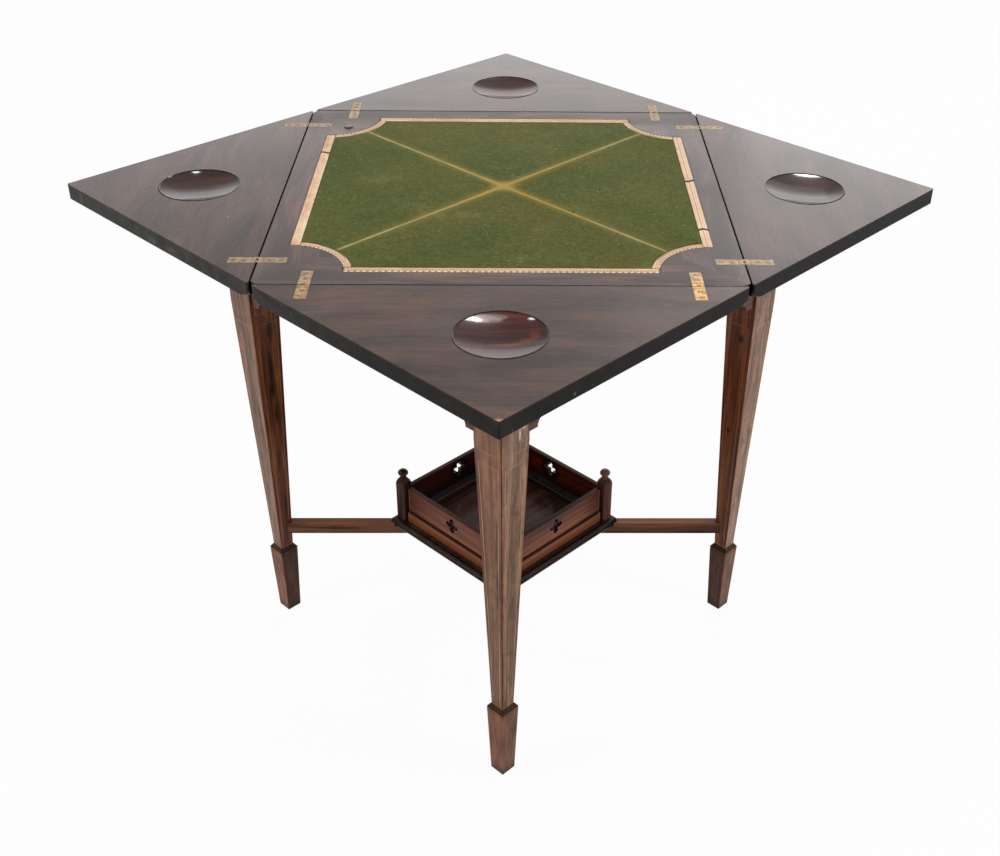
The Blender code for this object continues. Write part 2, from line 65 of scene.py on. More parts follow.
# Places that the CAD fixes
TOP_HEIGHT = 0.729
TOP_HALF = 0.290
BORDER_HALF = 0.258
BORDER_WIDTH = 0.0125
ARC_WIDTH = 0.0098
NOTCH_RADIUS = 0.072
LINING_FLOOR = 0.7273
WELL_DISTANCE = 0.404
WELL_RADIUS = 0.052
WELL_DEPTH = 0.0072
LEAF_TIP = 0.579
HINGE_OFFSET = 0.227
LEG_DISTANCE = 0.349
LEG_TOP_HALF = 0.02375
LEG_ANKLE_HALF = 0.0108
LEG_TAPER_TOP = 0.556
LEG_TAPER_LOW = 0.1255
COLLAR_BOTTOM = 0.119
TRAY_HALF = 0.1252
TRAY_FLOOR = 0.177
WALL_INNER = 0.1023
WALL_OUTER = 0.1103
POST_INNER = 0.09975
BAND_TOP = 0.1925
HOLE_HEIGHT = 0.218
WALL_TOP = 0.236
FINIAL_LOW = 0.250
STRETCHER_TOP = 0.169

LEAVES = ("right", "back", "left", "front")
LEGS = ("back", "left", "front", "right")
SIDES = ("back_left", "front_left", "front_right", "back_right")
QUARTER = math.pi / 2
EIGHTH = math.pi / 4
ROOT2 = math.sqrt(2)
LEG_SIDE = LEG_DISTANCE / ROOT2
WHITE = (1.0, 1.0, 1.0)
UP = Vector((0.0, 0.0, 1.0))


# Node graphs

class Nodes:
    """Short hand for the nodes of one tree."""

    def __init__(self, tree):
        self.tree = tree

    def add(self, kind, settings=None, **inputs):
        node = self.tree.nodes.new(kind)
        for key, value in (settings or {}).items():
            setattr(node, key, value)
        for key, value in inputs.items():
            self.feed(node.inputs[key.replace("_", " ")], value)
        return node

    def feed(self, socket, value):
        if isinstance(value, bpy.types.NodeSocket):
            self.tree.links.new(value, socket)
        elif socket.type == "RGBA":
            socket.default_value = (*value[:3], 1.0)
        else:
            socket.default_value = value

    def math(self, operation, *values):
        node = self.add("ShaderNodeMath", {"operation": operation})
        for socket, value in zip(node.inputs, values):
            self.feed(socket, value)
        return node.outputs[0]

    def times(self, first, *others):
        for other in others:
            first = self.math("MULTIPLY", first, other)
        return first

    def fit(self, value, factor, offset):
        return self.math("MULTIPLY_ADD", value, factor, offset)

    def less(self, first, second):
        return self.math("SUBTRACT", first, second)

    def rest(self, value):
        return self.less(1.0, value)

    def most(self, first, second):
        return self.math("MAXIMUM", first, second)

    def least(self, first, second):
        return self.math("MINIMUM", first, second)

    def size(self, value):
        return self.math("ABSOLUTE", value)

    def apart(self, first, second):
        return self.size(self.less(first, second))

    def step(self, value, low, high, start=0.0, end=1.0):
        """Smooth step of a value from low to high, giving start to end."""
        node = self.add("ShaderNodeMapRange", {"interpolation_type": "SMOOTHSTEP"})
        for key, given in (("Value", value), ("From Min", low), ("From Max", high),
                           ("To Min", start), ("To Max", end)):
            self.feed(node.inputs[key], given)
        return node.outputs[0]

    def fall(self, value, low, high, start=1.0, end=0.0):
        return self.step(value, low, high, start, end)

    def line(self, value, centre, half, soft):
        """1 where value lies within half of the centre, falling off over soft."""
        return self.fall(self.apart(value, centre), half, half + soft)

    def join(self, output, share, first, second):
        """Mix two shaders into a new output node."""
        mix = self.add("ShaderNodeMixShader")
        for socket, value in zip(mix.inputs, (share, first.outputs[0], second.outputs[0])):
            self.feed(socket, value)
        self.add(output, Surface=mix.outputs[0])


class Graph(Nodes):
    """One material in object coordinates, whose colour is laid on in steps."""

    def __init__(self, name):
        self.material = bpy.data.materials.new(name)
        self.material.use_nodes = True
        super().__init__(self.material.node_tree)
        self.shader = self.tree.nodes["Principled BSDF"]
        self.place = self.add("ShaderNodeTexCoord").outputs["Object"]
        self.x, self.y, self.z = self.add("ShaderNodeSeparateXYZ", Vector=self.place).outputs
        self.colour = None

    def vector(self, operation, first, second=(0.0, 0.0, 0.0)):
        node = self.add("ShaderNodeVectorMath", {"operation": operation})
        self.feed(node.inputs[0], first)
        self.feed(node.inputs[1], second)
        return node.outputs["Value" if operation == "LENGTH" else "Vector"]

    def combine(self, x, y, z):
        return self.add("ShaderNodeCombineXYZ", X=x, Y=y, Z=z).outputs[0]

    def turned(self, grain):
        """The place turned so that its first axis runs along the grain."""
        return self.add("ShaderNodeMapping", Vector=self.place,
                        Rotation=GRAIN_TURNS[grain]).outputs[0]

    def stretched(self, stretch, place=None):
        place = place or self.place
        return self.vector("MULTIPLY", place, stretch) if stretch else place

    def noise(self, scale, detail=3.0, rough=0.5, bend=0.0, stretch=None, place=None):
        return self.add("ShaderNodeTexNoise", Vector=self.stretched(stretch, place), Scale=scale,
                        Detail=detail, Roughness=rough, Distortion=bend).outputs["Fac"]

    def cells(self, scale, stretch=None):
        return self.add("ShaderNodeTexVoronoi", Vector=self.stretched(stretch),
                        Scale=scale).outputs["Distance"]

    def ramp(self, value, *stops):
        node = self.add("ShaderNodeValToRGB", Fac=value)
        points = node.color_ramp.elements
        while len(points) < len(stops):
            points.new(0.5)
        for point, (place, colour) in zip(points, stops):
            point.position = place
            point.color = (*colour, 1.0)
        return node.outputs["Color"]

    def base(self, value, *stops):
        self.colour = self.ramp(value, *stops)

    def mix(self, share, first, second, blend="MIX"):
        node = self.add("ShaderNodeMix", {"data_type": "RGBA", "blend_type": blend})
        self.feed(node.inputs[0], share)
        self.feed(node.inputs[6], first)
        self.feed(node.inputs[7], second)
        return node.outputs[2]

    def lay(self, colour, *shares):
        """Lay a colour over what is there so far, by the product of the shares."""
        self.colour = self.mix(self.times(*shares), self.colour, colour)

    def tinted(self, tint):
        return self.mix(1.0, self.colour, tint, "MULTIPLY")

    def finish(self, relief=None, **sockets):
        """Feed the shader. Relief is a height, its distance in metres and its strength."""
        if relief:
            height, distance, strength = relief
            sockets["Normal"] = self.add("ShaderNodeBump", Height=height, Distance=distance,
                                         Strength=strength).outputs[0]
        for key, value in {"Base_Color": self.colour, **sockets}.items():
            self.feed(self.shader.inputs[key.replace("_", " ")], value)
        return self.material


GRAIN_TURNS = {
    "x": (0.0, 0.0, 0.0),
    "y": (0.0, 0.0, -QUARTER),
    "z": (0.0, QUARTER, 0.0),
    "rise": (0.0, 0.0, -EIGHTH),
    "fall": (0.0, 0.0, -3 * EIGHTH),
}


def wood_figure(graph, place, fineness=1.0, wave=1.0):
    """Rosewood figure along the first axis of place: colour share, dark veins and pores.
    More wave makes the figure shorter and more curled."""
    drift = graph.noise(1.0, 2.0, stretch=(2.5 * wave, 7.0, 7.0), place=place)
    drift = graph.times(graph.less(drift, 0.5), 0.030 * wave)
    bent = graph.vector("ADD", place, graph.combine(0.0, drift, drift))
    body = graph.noise(3.2, 5.0, 0.62, 0.35 * wave,
                       (0.9 * wave, 15.0 * fineness, 15.0 * fineness), bent)
    streak = graph.noise(2.4, 4.0, 0.6, stretch=(2.2, 120.0, 120.0), place=bent)
    vein = graph.noise(4.1, 4.0, 0.55, 0.9, (wave, 9.0 * fineness, 9.0 * fineness), bent)
    pores = graph.noise(1.0, 2.0, 0.6, stretch=(40.0, 900.0, 900.0), place=place)
    share = graph.math("ADD", graph.times(body, 0.72), graph.times(streak, 0.28))
    return share, graph.step(vein, 0.56, 0.69), graph.step(pores, 0.60, 0.72)


def rosewood(name, grain, colours, gloss=(0.30, 0.10), coat=(0.4, 0.18), vein_share=0.75,
             fineness=1.0, wave=1.0, shine=0.5, pore_share=0.45, relief=0.5, extra=None):
    """Polished rosewood. Colours run from dark to light; extra lays more over them."""
    graph = Graph(name)
    share, vein, pores = wood_figure(graph, graph.turned(grain), fineness, wave)
    dark, middle, light = colours
    graph.base(share, (0.34, dark), (0.48, middle), (0.64, light))
    graph.lay([value * 0.35 for value in dark], vein, vein_share)
    graph.lay([value * 0.3 for value in dark], pores, pore_share)
    rough = graph.fit(graph.noise(14.0, 4.0, 0.6), gloss[1] * 2, gloss[0] - gloss[1])
    rough = graph.math("ADD", rough, graph.times(pores, 0.10))
    if extra:
        extra(graph)
    height = graph.less(graph.times(share, 0.6), graph.times(pores, pore_share))
    return graph.finish((height, 0.00004, relief), Roughness=rough, Coat_Weight=coat[0],
                        Coat_Roughness=coat[1], Specular_IOR_Level=shine)


# Mesh helpers

WELD = 1e-6
FLAT_ANGLE = 0.002
RIM_ANGLE = math.radians(30)
# The rubbed arris of a joint: its width, and how near its edges lie to the joint's place
ARRIS_WIDTH = 0.0022
ARRIS_NEAR = 0.0015
ARRIS_DROP = 0.0003
ARRIS_LEAST = 0.001


def turn_z(angle):
    return Matrix.Rotation(angle, 3, "Z")


def soften(mesh, smooth):
    mesh.shade_smooth()
    mesh.set_sharp_from_angle(angle=math.radians(smooth))


def new_object(name, build, *materials, smooth=None):
    bmesh.ops.recalc_face_normals(build, faces=build.faces)
    mesh = bpy.data.meshes.new(name)
    build.to_mesh(mesh)
    build.free()
    for material in materials:
        mesh.materials.append(material)
    piece = bpy.data.objects.new(name, mesh)
    bpy.context.scene.collection.objects.link(piece)
    if smooth is not None:
        soften(mesh, smooth)
    return piece


def skin(build, rings):
    """Closed faces over a stack of rings of points, in a mesh under construction."""
    rows = [[build.verts.new(point) for point in ring] for ring in rings]
    count = len(rows[0])
    for low, high in zip(rows, rows[1:]):
        for i in range(count):
            j = (i + 1) % count
            build.faces.new((low[i], low[j], high[j], high[i]))
    build.faces.new(list(reversed(rows[0])))
    build.faces.new(rows[-1])
    return rows


def add_bevel(piece, name, width, limit, segments):
    bevel = piece.modifiers.new(name, "BEVEL")
    bevel.width = width
    bevel.segments = segments
    bevel.limit_method = limit
    return bevel


def refined(node, *materials, width=0.0, smooth=38, shape=None, joints=False):
    """A copy of a CAD node with welded, clean faces, smooth shading and softened rims."""
    source = nodes[node]
    build = bmesh.new()
    build.from_mesh(source.data)
    bmesh.ops.remove_doubles(build, verts=build.verts, dist=WELD)
    bmesh.ops.dissolve_limit(build, angle_limit=FLAT_ANGLE, verts=build.verts,
                             edges=build.edges)
    if shape:
        shape(build)
    piece = new_object(node + "_finish", build, *materials)
    if joints:
        ease_joints(piece)
    if width:
        bevel = add_bevel(piece, "rims", width, "ANGLE", 2)
        bevel.angle_limit = RIM_ANGLE
        bevel.use_clamp_overlap = True
    soften(piece.data, smooth)
    shading = piece.modifiers.new("shading", "WEIGHTED_NORMAL")
    shading.keep_sharp = True
    dress(piece, source["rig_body"], source.data.materials[0].name, node)
    return piece


def ease_joints(piece):
    """Rub down the arrises of the joints at the left, the right and the back of the board."""
    mesh = piece.data
    weights = mesh.attributes.new("bevel_weight_edge", "FLOAT", "EDGE")
    for edge in mesh.edges:
        ends = [mesh.vertices[i].co for i in edge.vertices]
        level = all(end.z > TOP_HEIGHT - ARRIS_DROP for end in ends)
        across = all(abs(abs(end.x) - TOP_HALF) < ARRIS_NEAR for end in ends)
        behind = all(abs(end.y - TOP_HALF) < ARRIS_NEAR for end in ends)
        if level and (across or behind) and (ends[0] - ends[1]).length > ARRIS_LEAST:
            weights.data[edge.index].value = 1.0
    bevel = add_bevel(piece, "joint_arris", ARRIS_WIDTH, "WEIGHT", 1)
    # The rubbed arrises take the last material, the flat dark painted shade in the joints
    bevel.material = len(mesh.materials) - 1


def dress(piece, body, slot, *replaced):
    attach(piece, body)
    if replaced:
        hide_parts(*replaced)


def base_point(u, v, z, index):
    """Point of the base axes, turned to corner or side number index."""
    point = turn_z(EIGHTH + QUARTER * index) @ Vector((u, v, 0.0))
    return Vector((point.x, point.y, z))


# Rosewood finishes

def axes(graph):
    """The larger and the smaller of |x| and |y|."""
    first, second = graph.size(graph.x), graph.size(graph.y)
    return graph.most(first, second), graph.least(first, second)


def base_axes(graph):
    """|u| and |v| of the base axes, which stand at 45 degrees to the top."""
    first = graph.math("DIVIDE", graph.math("ADD", graph.x, graph.y), ROOT2)
    second = graph.math("DIVIDE", graph.less(graph.y, graph.x), ROOT2)
    return graph.size(first), graph.size(second)


def joint_shade_lines(graph):
    """Painted shade: dark lines in the joints where the leaves meet the board, wider towards the
    back.
    """
    reach = graph.step(graph.y, 0.0, 0.28, 0.0009, 0.0022)
    away = graph.less(graph.apart(axes(graph)[0], TOP_HALF), reach)
    graph.lay((0.003, 0.002, 0.002), graph.fall(away, 0.0, 0.0010), 0.94)


def spot(graph, centre, radius, stretch=None):
    """1 near a place, fading out at the radius; stretch above 1 narrows an axis."""
    offset = graph.stretched(stretch, graph.vector("SUBTRACT", graph.place, centre))
    ragged = graph.fit(graph.noise(260.0), radius * 0.5, graph.vector("LENGTH", offset))
    return graph.fall(ragged, radius * 0.45, radius * 1.25)


def flecks(graph, scale, size, patches):
    """Dots of a size, kept where a coarse noise of the scale patches[0] is high."""
    dots = graph.fall(graph.cells(scale), *size)
    return graph.times(dots, graph.step(graph.noise(patches[0], 2.0), *patches[1:]))


# Chips on the left leaf and beside the right joint
CHIPS = (((-0.2714, -0.2640, TOP_HEIGHT), 0.0022), ((-0.2712, -0.2840, TOP_HEIGHT), 0.0026),
         ((0.2875, 0.0014, TOP_HEIGHT), 0.0022), ((-0.3471, -0.1045, TOP_HEIGHT), 0.0020))
TOP_COLOURS = ((0.022, 0.012, 0.010), (0.060, 0.030, 0.022), (0.125, 0.056, 0.036))


def leaf_extra(graph):
    joint_shade_lines(graph)
    graph.lay((0.42, 0.38, 0.34), flecks(graph, 34.0, (0.028, 0.040), (9.0, 0.56, 0.62)), 0.55)
    rubbed = graph.step(graph.noise(6.0, 4.0, 0.65), 0.50, 0.72, 0.0, 0.20)
    graph.lay((0.16, 0.115, 0.10), rubbed)
    for place, radius in CHIPS:
        graph.lay((0.50, 0.45, 0.40), spot(graph, place, radius), 0.8)
    # Painted sheen: the right half of the front leaf is paler and greyer
    right_sheen = graph.step(graph.x, 0.04, 0.20, 0.0, 0.11)
    graph.lay((0.34, 0.34, 0.34), right_sheen, graph.fall(graph.y, -0.295, -0.290))
    # Bare wood where the front tip has been knocked
    graph.lay((0.52, 0.27, 0.17), spot(graph, (0.0, -LEAF_TIP, TOP_HEIGHT), 0.0095))


def leaf_material(grain):
    return rosewood("leaf_veneer_" + grain, grain, TOP_COLOURS, gloss=(0.24, 0.05),
                    coat=(0.35, 0.16), vein_share=0.30, fineness=0.5, wave=1.8,
                    pore_share=0.15, relief=0.05, extra=leaf_extra)


leaf_veneer = {grain: leaf_material(grain) for grain in "xy"}

# A painted glow: a redder crescent of light in the front well, along the edge of its dark
# reflection. Each place, its narrowing along the axes and its strength
PAINTED_WELL_GLOWS = (((0.0010, -0.4180, 0.7225), (0.70, 2.4, 1.0), 0.42),
              ((0.0150, -0.4165, 0.7228), (0.80, 2.2, 1.0), 0.42),
              ((0.0280, -0.4110, 0.7240), (1.0, 1.7, 1.0), 0.40),
              ((0.0370, -0.4020, 0.7255), (1.5, 1.1, 1.0), 0.36))


def well_material():
    """Deep red polish inside the wells, hardly faded."""
    graph = Graph("well_rosewood")
    share, vein, _ = wood_figure(graph, graph.turned("x"), 0.8, 1.6)
    graph.base(share, (0.36, (0.014, 0.004, 0.003)), (0.50, (0.060, 0.012, 0.007)),
               (0.64, (0.180, 0.042, 0.014)))
    # The two side wells are browner and darker
    graph.lay((0.016, 0.010, 0.009), graph.step(graph.size(graph.x), 0.10, 0.20, 0.0, 0.62))
    graph.lay((0.006, 0.003, 0.003), vein, 0.5)
    # Painted glow of light in the front well
    for place, stretch, strength in PAINTED_WELL_GLOWS:
        graph.lay((0.30, 0.046, 0.009), spot(graph, place, 0.0130, stretch), strength)
    # Painted shade on the lip and the top of the bowl, just inside the rim
    depth = graph.less(TOP_HEIGHT, graph.z)
    graph.lay((0.008, 0.005, 0.005), graph.fall(depth, 0.0, 0.0016, 0.75))
    return graph.finish(Roughness=0.32, Coat_Weight=0.50, Coat_Roughness=0.07,
                        Specular_IOR_Level=0.06)


# Pale knocks on the leaf edges that face the camera: place, radius and narrowing
KNOCKS = (((-0.5557, -0.0233, 0.7144), 0.0075, (1.6, 1.6, 0.5)),
          ((-0.4360, -0.1430, 0.7150), 0.0090, (0.6, 0.6, 1.3)),
          ((-0.4045, -0.1745, 0.7156), 0.0080, (0.5, 0.5, 1.6)),
          ((-0.2338, -0.3452, 0.7214), 0.0026, None),
          ((0.0768, -0.5022, 0.7135), 0.0030, None))


def dark_edge():
    """Worn dark polish on the edges of the leaves and of the board."""
    graph = Graph("dark_edge")
    mottle = graph.noise(60.0, 5.0, 0.65)
    graph.base(mottle, (0.35, (0.006, 0.005, 0.005)), (0.55, (0.012, 0.010, 0.009)),
               (0.75, (0.026, 0.019, 0.016)))
    marks = graph.noise(38.0, 5.0, 0.7, stretch=(1.0, 1.0, 0.6))
    graph.lay((0.16, 0.15, 0.14), graph.step(marks, 0.67, 0.76), 0.45)
    graph.lay((0.24, 0.20, 0.17), flecks(graph, 70.0, (0.05, 0.08), (12.0, 0.52, 0.60)), 0.5)
    streaks = graph.noise(420.0, 3.0, 0.7, stretch=(1.0, 1.0, 0.35))
    streaks = graph.step(streaks, 0.34, 0.66, 0.08, 0.50)
    for place, radius, stretch in KNOCKS:
        graph.lay((0.24, 0.23, 0.21), spot(graph, place, radius, stretch), streaks)
    arris = graph.line(graph.z, TOP_HEIGHT - 0.0011, 0.0004, 0.0008)
    graph.lay((0.13, 0.040, 0.028), arris, graph.times(mottle, 0.5))
    # Patchy, paler and greyer towards the left end of the front leaf's edge
    graph.lay((0.085, 0.080, 0.068), graph.fall(graph.x, -0.30, -0.12, 1.0, 0.15),
              graph.step(graph.math("ADD", graph.x, graph.y), -0.50, -0.57),
              graph.step(mottle, 0.3, 0.7, 0.1, 0.5))
    return graph.finish((mottle, 0.0003, 0.6), Roughness=graph.fit(mottle, 0.3, 0.30),
                        Specular_IOR_Level=0.09)


def shade_paint_material(name, dark, light):
    """Matte dark colour, a little mottled, for painted shade in the joints and the painted shadow
    line round each well.
    """
    graph = Graph(name)
    tone = graph.noise(220.0, 3.0, 0.6)
    graph.base(tone, (0.3, dark), (0.7, light))
    return graph.finish((tone, 0.0002, 0.5), Roughness=0.95, Specular_IOR_Level=0.0)


def board_material():
    """The board's veneer, whose grain follows each side and meets at the corners."""
    graph = Graph("board_veneer")
    across = graph.math("GREATER_THAN", graph.size(graph.x), graph.size(graph.y))
    place = graph.mix(across, graph.place, graph.combine(graph.y, graph.x, graph.z))
    share, vein, pores = wood_figure(graph, place, 0.8, 1.6)
    graph.base(share, (0.34, TOP_COLOURS[0]), (0.48, TOP_COLOURS[1]),
               (0.62, (0.165, 0.080, 0.060)))
    cool = graph.noise(1.0, 3.0, 0.55, stretch=(2.4, 26.0, 26.0), place=place)
    graph.lay((0.052, 0.058, 0.054), graph.step(cool, 0.54, 0.68, 0.0, 0.40))
    graph.lay((0.006, 0.004, 0.004), vein, 0.65)
    graph.lay((0.004, 0.003, 0.003), pores, 0.2)
    joint_shade_lines(graph)
    rough = graph.fit(graph.noise(14.0, 4.0), 0.10, 0.20)
    rough = graph.math("ADD", rough, graph.step(graph.y, 0.18, 0.26, 0.0, 0.30))
    return graph.finish((share, 0.00003, 0.05), Roughness=rough, Coat_Weight=0.40,
                        Coat_Roughness=0.16)


def leg_extra(foot_colours, patches, blotch, front_tint, left_tint):
    """Warm bands along the arrises, dark worn arrises, dark collars and redder feet."""
    def extra(graph):
        if blotch:
            cloud = graph.noise(75.0, 4.0, 0.65, 0.8, (1.0, 1.0, 0.45))
            graph.lay((0.120, 0.085, 0.062), graph.step(cloud, 0.44, 0.66, 0.0, blotch))
        # Painted shade: the front leg is darker lower down. Painted reflection: the left leg's
        # outer face is greyer
        tone_shift = graph.fall(graph.z, 0.38, 0.60, 1.0, 0.05)
        graph.lay(graph.tinted(front_tint), graph.fall(graph.y, -0.30, -0.25), tone_shift)
        graph.lay(graph.tinted(left_tint), graph.fall(graph.x, -0.30, -0.25))
        for place, radius, stretch, tint, strength in patches:
            graph.lay(tint, spot(graph, place, radius, stretch), strength)
        u, v = base_axes(graph)
        half = graph.add("ShaderNodeMapRange", Value=graph.z, From_Min=LEG_TAPER_LOW,
                         From_Max=LEG_TAPER_TOP, To_Min=LEG_ANKLE_HALF,
                         To_Max=LEG_TOP_HALF).outputs[0]
        away = graph.least(graph.apart(u, LEG_SIDE), graph.apart(v, LEG_SIDE))
        inward = graph.less(half, away)
        graph.lay(graph.tinted((1.16, 0.96, 0.80)), graph.fall(inward, 0.0045, 0.0062))
        wander = graph.fit(graph.noise(90.0), -0.0007, inward)
        graph.lay((0.012, 0.006, 0.004), graph.fall(wander, 0.0003, 0.0013, 0.85))
        grain = graph.noise(1.0, 4.0, 0.6, stretch=(150.0, 150.0, 22.0))
        foot = graph.ramp(grain, (0.36, foot_colours[0]), (0.62, foot_colours[1]))
        foot = graph.mix(graph.fall(graph.z, 0.0, 0.020, 0.70), foot, (0.020, 0.008, 0.005))
        graph.lay(foot, graph.fall(graph.z, COLLAR_BOTTOM, LEG_TAPER_LOW + 0.0005))
        collar = graph.line(graph.z, 0.5 * (COLLAR_BOTTOM + LEG_TAPER_LOW), 0.0034, 0.0010)
        graph.lay((0.026, 0.011, 0.007), collar, 0.80)
        light = graph.line(graph.z, LEG_TAPER_LOW + 0.0006, 0.0003, 0.0005)
        graph.lay((0.45, 0.25, 0.13), light, 0.6)
    return extra


def leg_wood(name, colours, foot_colours, patches, vein_share=0.8, blotch=0.0,
             front_tint=WHITE, left_tint=WHITE):
    return rosewood("leg_rosewood_" + name, "z", colours, gloss=(0.36, 0.08), coat=(0.04, 0.2),
                    fineness=2.6, vein_share=vein_share, shine=0.11,
                    extra=leg_extra(foot_colours, patches, blotch, front_tint, left_tint))


# Dark knots and long dark figure on the inner faces: place, radius and narrowing upright
KNOTS = (((-0.3306, -0.0135, 0.5160), 0.0085, 0.30), ((-0.3340, -0.0143, 0.4565), 0.0070, 0.13),
         ((-0.3355, -0.0142, 0.4170), 0.0065, 0.35), ((-0.3343, -0.0112, 0.3750), 0.0045, 0.16),
         ((-0.3369, -0.0065, 0.2040), 0.0048, 0.14), ((0.3371, -0.0197, 0.5075), 0.0062, 0.60),
         ((0.3345, -0.0102, 0.3465), 0.0042, 0.50), ((0.3446, -0.0235, 0.4230), 0.0026, 0.50))
# Lit and shaded copies of one wood: the outer faces are painted pale with reflected light, and the
# inner faces painted dark and red, as in shade
leg_finishes = (
    leg_wood("lit_left", ((0.080, 0.034, 0.022), (0.265, 0.118, 0.068), (0.450, 0.220, 0.130)),
             ((0.120, 0.036, 0.014), (0.300, 0.110, 0.048)),
             (((-0.0093, -0.3523, 0.062), 0.0050, None, (0.42, 0.20, 0.09), 0.8),
              ((-0.0090, -0.3523, 0.062), 0.0024, None, (0.05, 0.02, 0.01), 0.9)),
             blotch=0.45, front_tint=(0.80, 0.80, 0.72), left_tint=(0.86, 1.00, 1.14)),
    leg_wood("lit_right", ((0.120, 0.072, 0.052), (0.315, 0.178, 0.120), (0.500, 0.310, 0.218)),
             ((0.100, 0.036, 0.017), (0.250, 0.105, 0.056)),
             (((0.0217, -0.3609, 0.5700), 0.0060, (2.2, 2.2, 0.42), (0.80, 0.62, 0.50), 0.95),
              ((0.0262, -0.3564, 0.5790), 0.0050, None, (0.75, 0.58, 0.46), 0.85)),
             vein_share=0.35, blotch=0.75, front_tint=(0.72, 0.65, 0.54)),
    leg_wood("dark", ((0.026, 0.008, 0.004), (0.130, 0.037, 0.011), (0.310, 0.096, 0.024)),
             ((0.034, 0.011, 0.006), (0.095, 0.034, 0.016)),
             [(place, radius, (1.0, 1.0, narrow), (0.010, 0.006, 0.005), 0.92)
              for place, radius, narrow in KNOTS]),
)


def tray_extra(graph):
    u, v = base_axes(graph)
    far, near = graph.most(u, v), graph.least(u, v)
    inside = graph.fall(far, WALL_INNER + 0.0006, WALL_INNER + 0.0020)
    outside = graph.rest(inside)
    # Painted shade: the inner faces of the walls are darker and redder
    graph.lay(graph.tinted((0.72, 0.32, 0.36)), inside)
    # The wall at the back left gets the least light
    graph.lay((0.004, 0.002, 0.002), inside, graph.fall(graph.x, -0.02, 0.02, 0.75))
    # Painted shade: the outer faces darken towards the posts, and the inner faces go nearly black
    # low down
    graph.lay((0.030, 0.008, 0.006), outside, graph.step(near, 0.050, 0.098, 0.0, 0.55))
    graph.lay((0.006, 0.003, 0.003), inside, graph.fall(graph.z, 0.197, 0.220, 0.85))
    # Painted shade round the piercings on the inner faces, and nearly black inside the piercings
    rise = graph.less(graph.z, HOLE_HEIGHT)
    around = graph.vector("LENGTH", graph.combine(near, rise, 0.0))
    shade = graph.times(inside, graph.fall(around, 0.014, 0.026, 0.8))
    hole = graph.times(graph.fall(around, 0.0150, 0.0160, 0.94),
                       graph.line(far, 0.5 * (WALL_INNER + WALL_OUTER), 0.0030, 0.0008))
    graph.lay((0.005, 0.002, 0.002), graph.most(shade, hole))
    # Painted shade in a groove over the base band, and in a reveal at each post
    band = graph.fall(graph.z, BAND_TOP - 0.0002, BAND_TOP + 0.0006, 0.55)
    graph.lay((0.290, 0.095, 0.036), outside, band)
    groove = graph.line(graph.z, BAND_TOP + 0.0016, 0.0009, 0.0009)
    reveal = graph.step(near, POST_INNER - 0.0030, POST_INNER - 0.0022)
    graph.lay((0.010, 0.004, 0.003), outside, graph.most(groove, reveal), 0.85)
    light = graph.line(near, POST_INNER - 0.0036, 0.0003, 0.0003)
    graph.lay((0.42, 0.20, 0.11), outside, light, 0.6)
    rim = graph.step(graph.z, WALL_TOP - 0.0006, WALL_TOP - 0.0001, 0.0, 0.75)
    graph.lay((0.022, 0.016, 0.015), rim)


def post_extra(graph):
    """Darker towards the left, so that the left post is nearly black, and paler on the right one's
    finial.
    """
    tint = graph.step(graph.x, -0.12, 0.12, 0.35, 0.85)
    graph.colour = graph.tinted(graph.combine(tint, tint, tint))
    finial = graph.step(graph.z, FINIAL_LOW, FINIAL_LOW + 0.004)
    graph.lay((0.200, 0.095, 0.062), finial, graph.step(graph.x, 0.0, 0.1), 0.6)


def tray_edge_extra(graph):
    """Two light lines along the near black moulding outside the walls: painted highlights on its
    worn arrises.
    """
    outside = graph.step(graph.most(*base_axes(graph)), TRAY_HALF - 0.0024, TRAY_HALF - 0.0018)
    ragged = graph.step(graph.noise(45.0, 3.0, 0.6), 0.35, 0.60, 0.35, 0.80)
    upper = graph.line(graph.z, TRAY_FLOOR - 0.0006, 0.0010, 0.0006)
    graph.lay((0.40, 0.210, 0.125), outside, upper, ragged)
    lower = graph.line(graph.z, TRAY_FLOOR - 0.0062, 0.0006, 0.0006)
    graph.lay((0.36, 0.180, 0.100), lower, graph.step(graph.x, -0.02, 0.02, 0.8, 0.15), ragged)


def stretcher_extra(graph):
    """The top is painted paler, as lit from above, and its arrises redder."""
    top = graph.step(graph.z, STRETCHER_TOP - 0.0006, STRETCHER_TOP - 0.0001)
    graph.lay(graph.tinted((1.50, 1.45, 1.40)), top)
    arris = graph.line(graph.z, STRETCHER_TOP - 0.0012, 0.0006, 0.0008)
    graph.lay((0.30, 0.085, 0.040), arris, 0.55)


def frame_material(grain):
    colours = (0.020, 0.008, 0.005), (0.080, 0.028, 0.016), (0.180, 0.066, 0.032)
    return rosewood("frame_rosewood_" + grain, grain, colours, gloss=(0.36, 0.08),
                    coat=(0.06, 0.25), shine=0.2)


def tray_material(grain):
    colours = (0.042, 0.010, 0.004), (0.150, 0.036, 0.015), (0.300, 0.090, 0.034)
    return rosewood("tray_rosewood_" + grain, grain, colours, gloss=(0.30, 0.08),
                    coat=(0.06, 0.15), vein_share=0.7, shine=0.14, extra=tray_extra)


def stretcher_material(grain):
    colours = (0.036, 0.012, 0.006), (0.112, 0.042, 0.021), (0.215, 0.088, 0.044)
    return rosewood("stretcher_rosewood_" + grain, grain, colours, gloss=(0.40, 0.08),
                    coat=(0.03, 0.2), shine=0.12, extra=stretcher_extra)


def tray_floor_material():
    colours = (0.020, 0.009, 0.007), (0.046, 0.021, 0.015), (0.085, 0.042, 0.028)
    return rosewood("tray_floor_rosewood", "rise", colours, gloss=(0.22, 0.06),
                    coat=(0.35, 0.12), vein_share=0.5, shine=0.25)


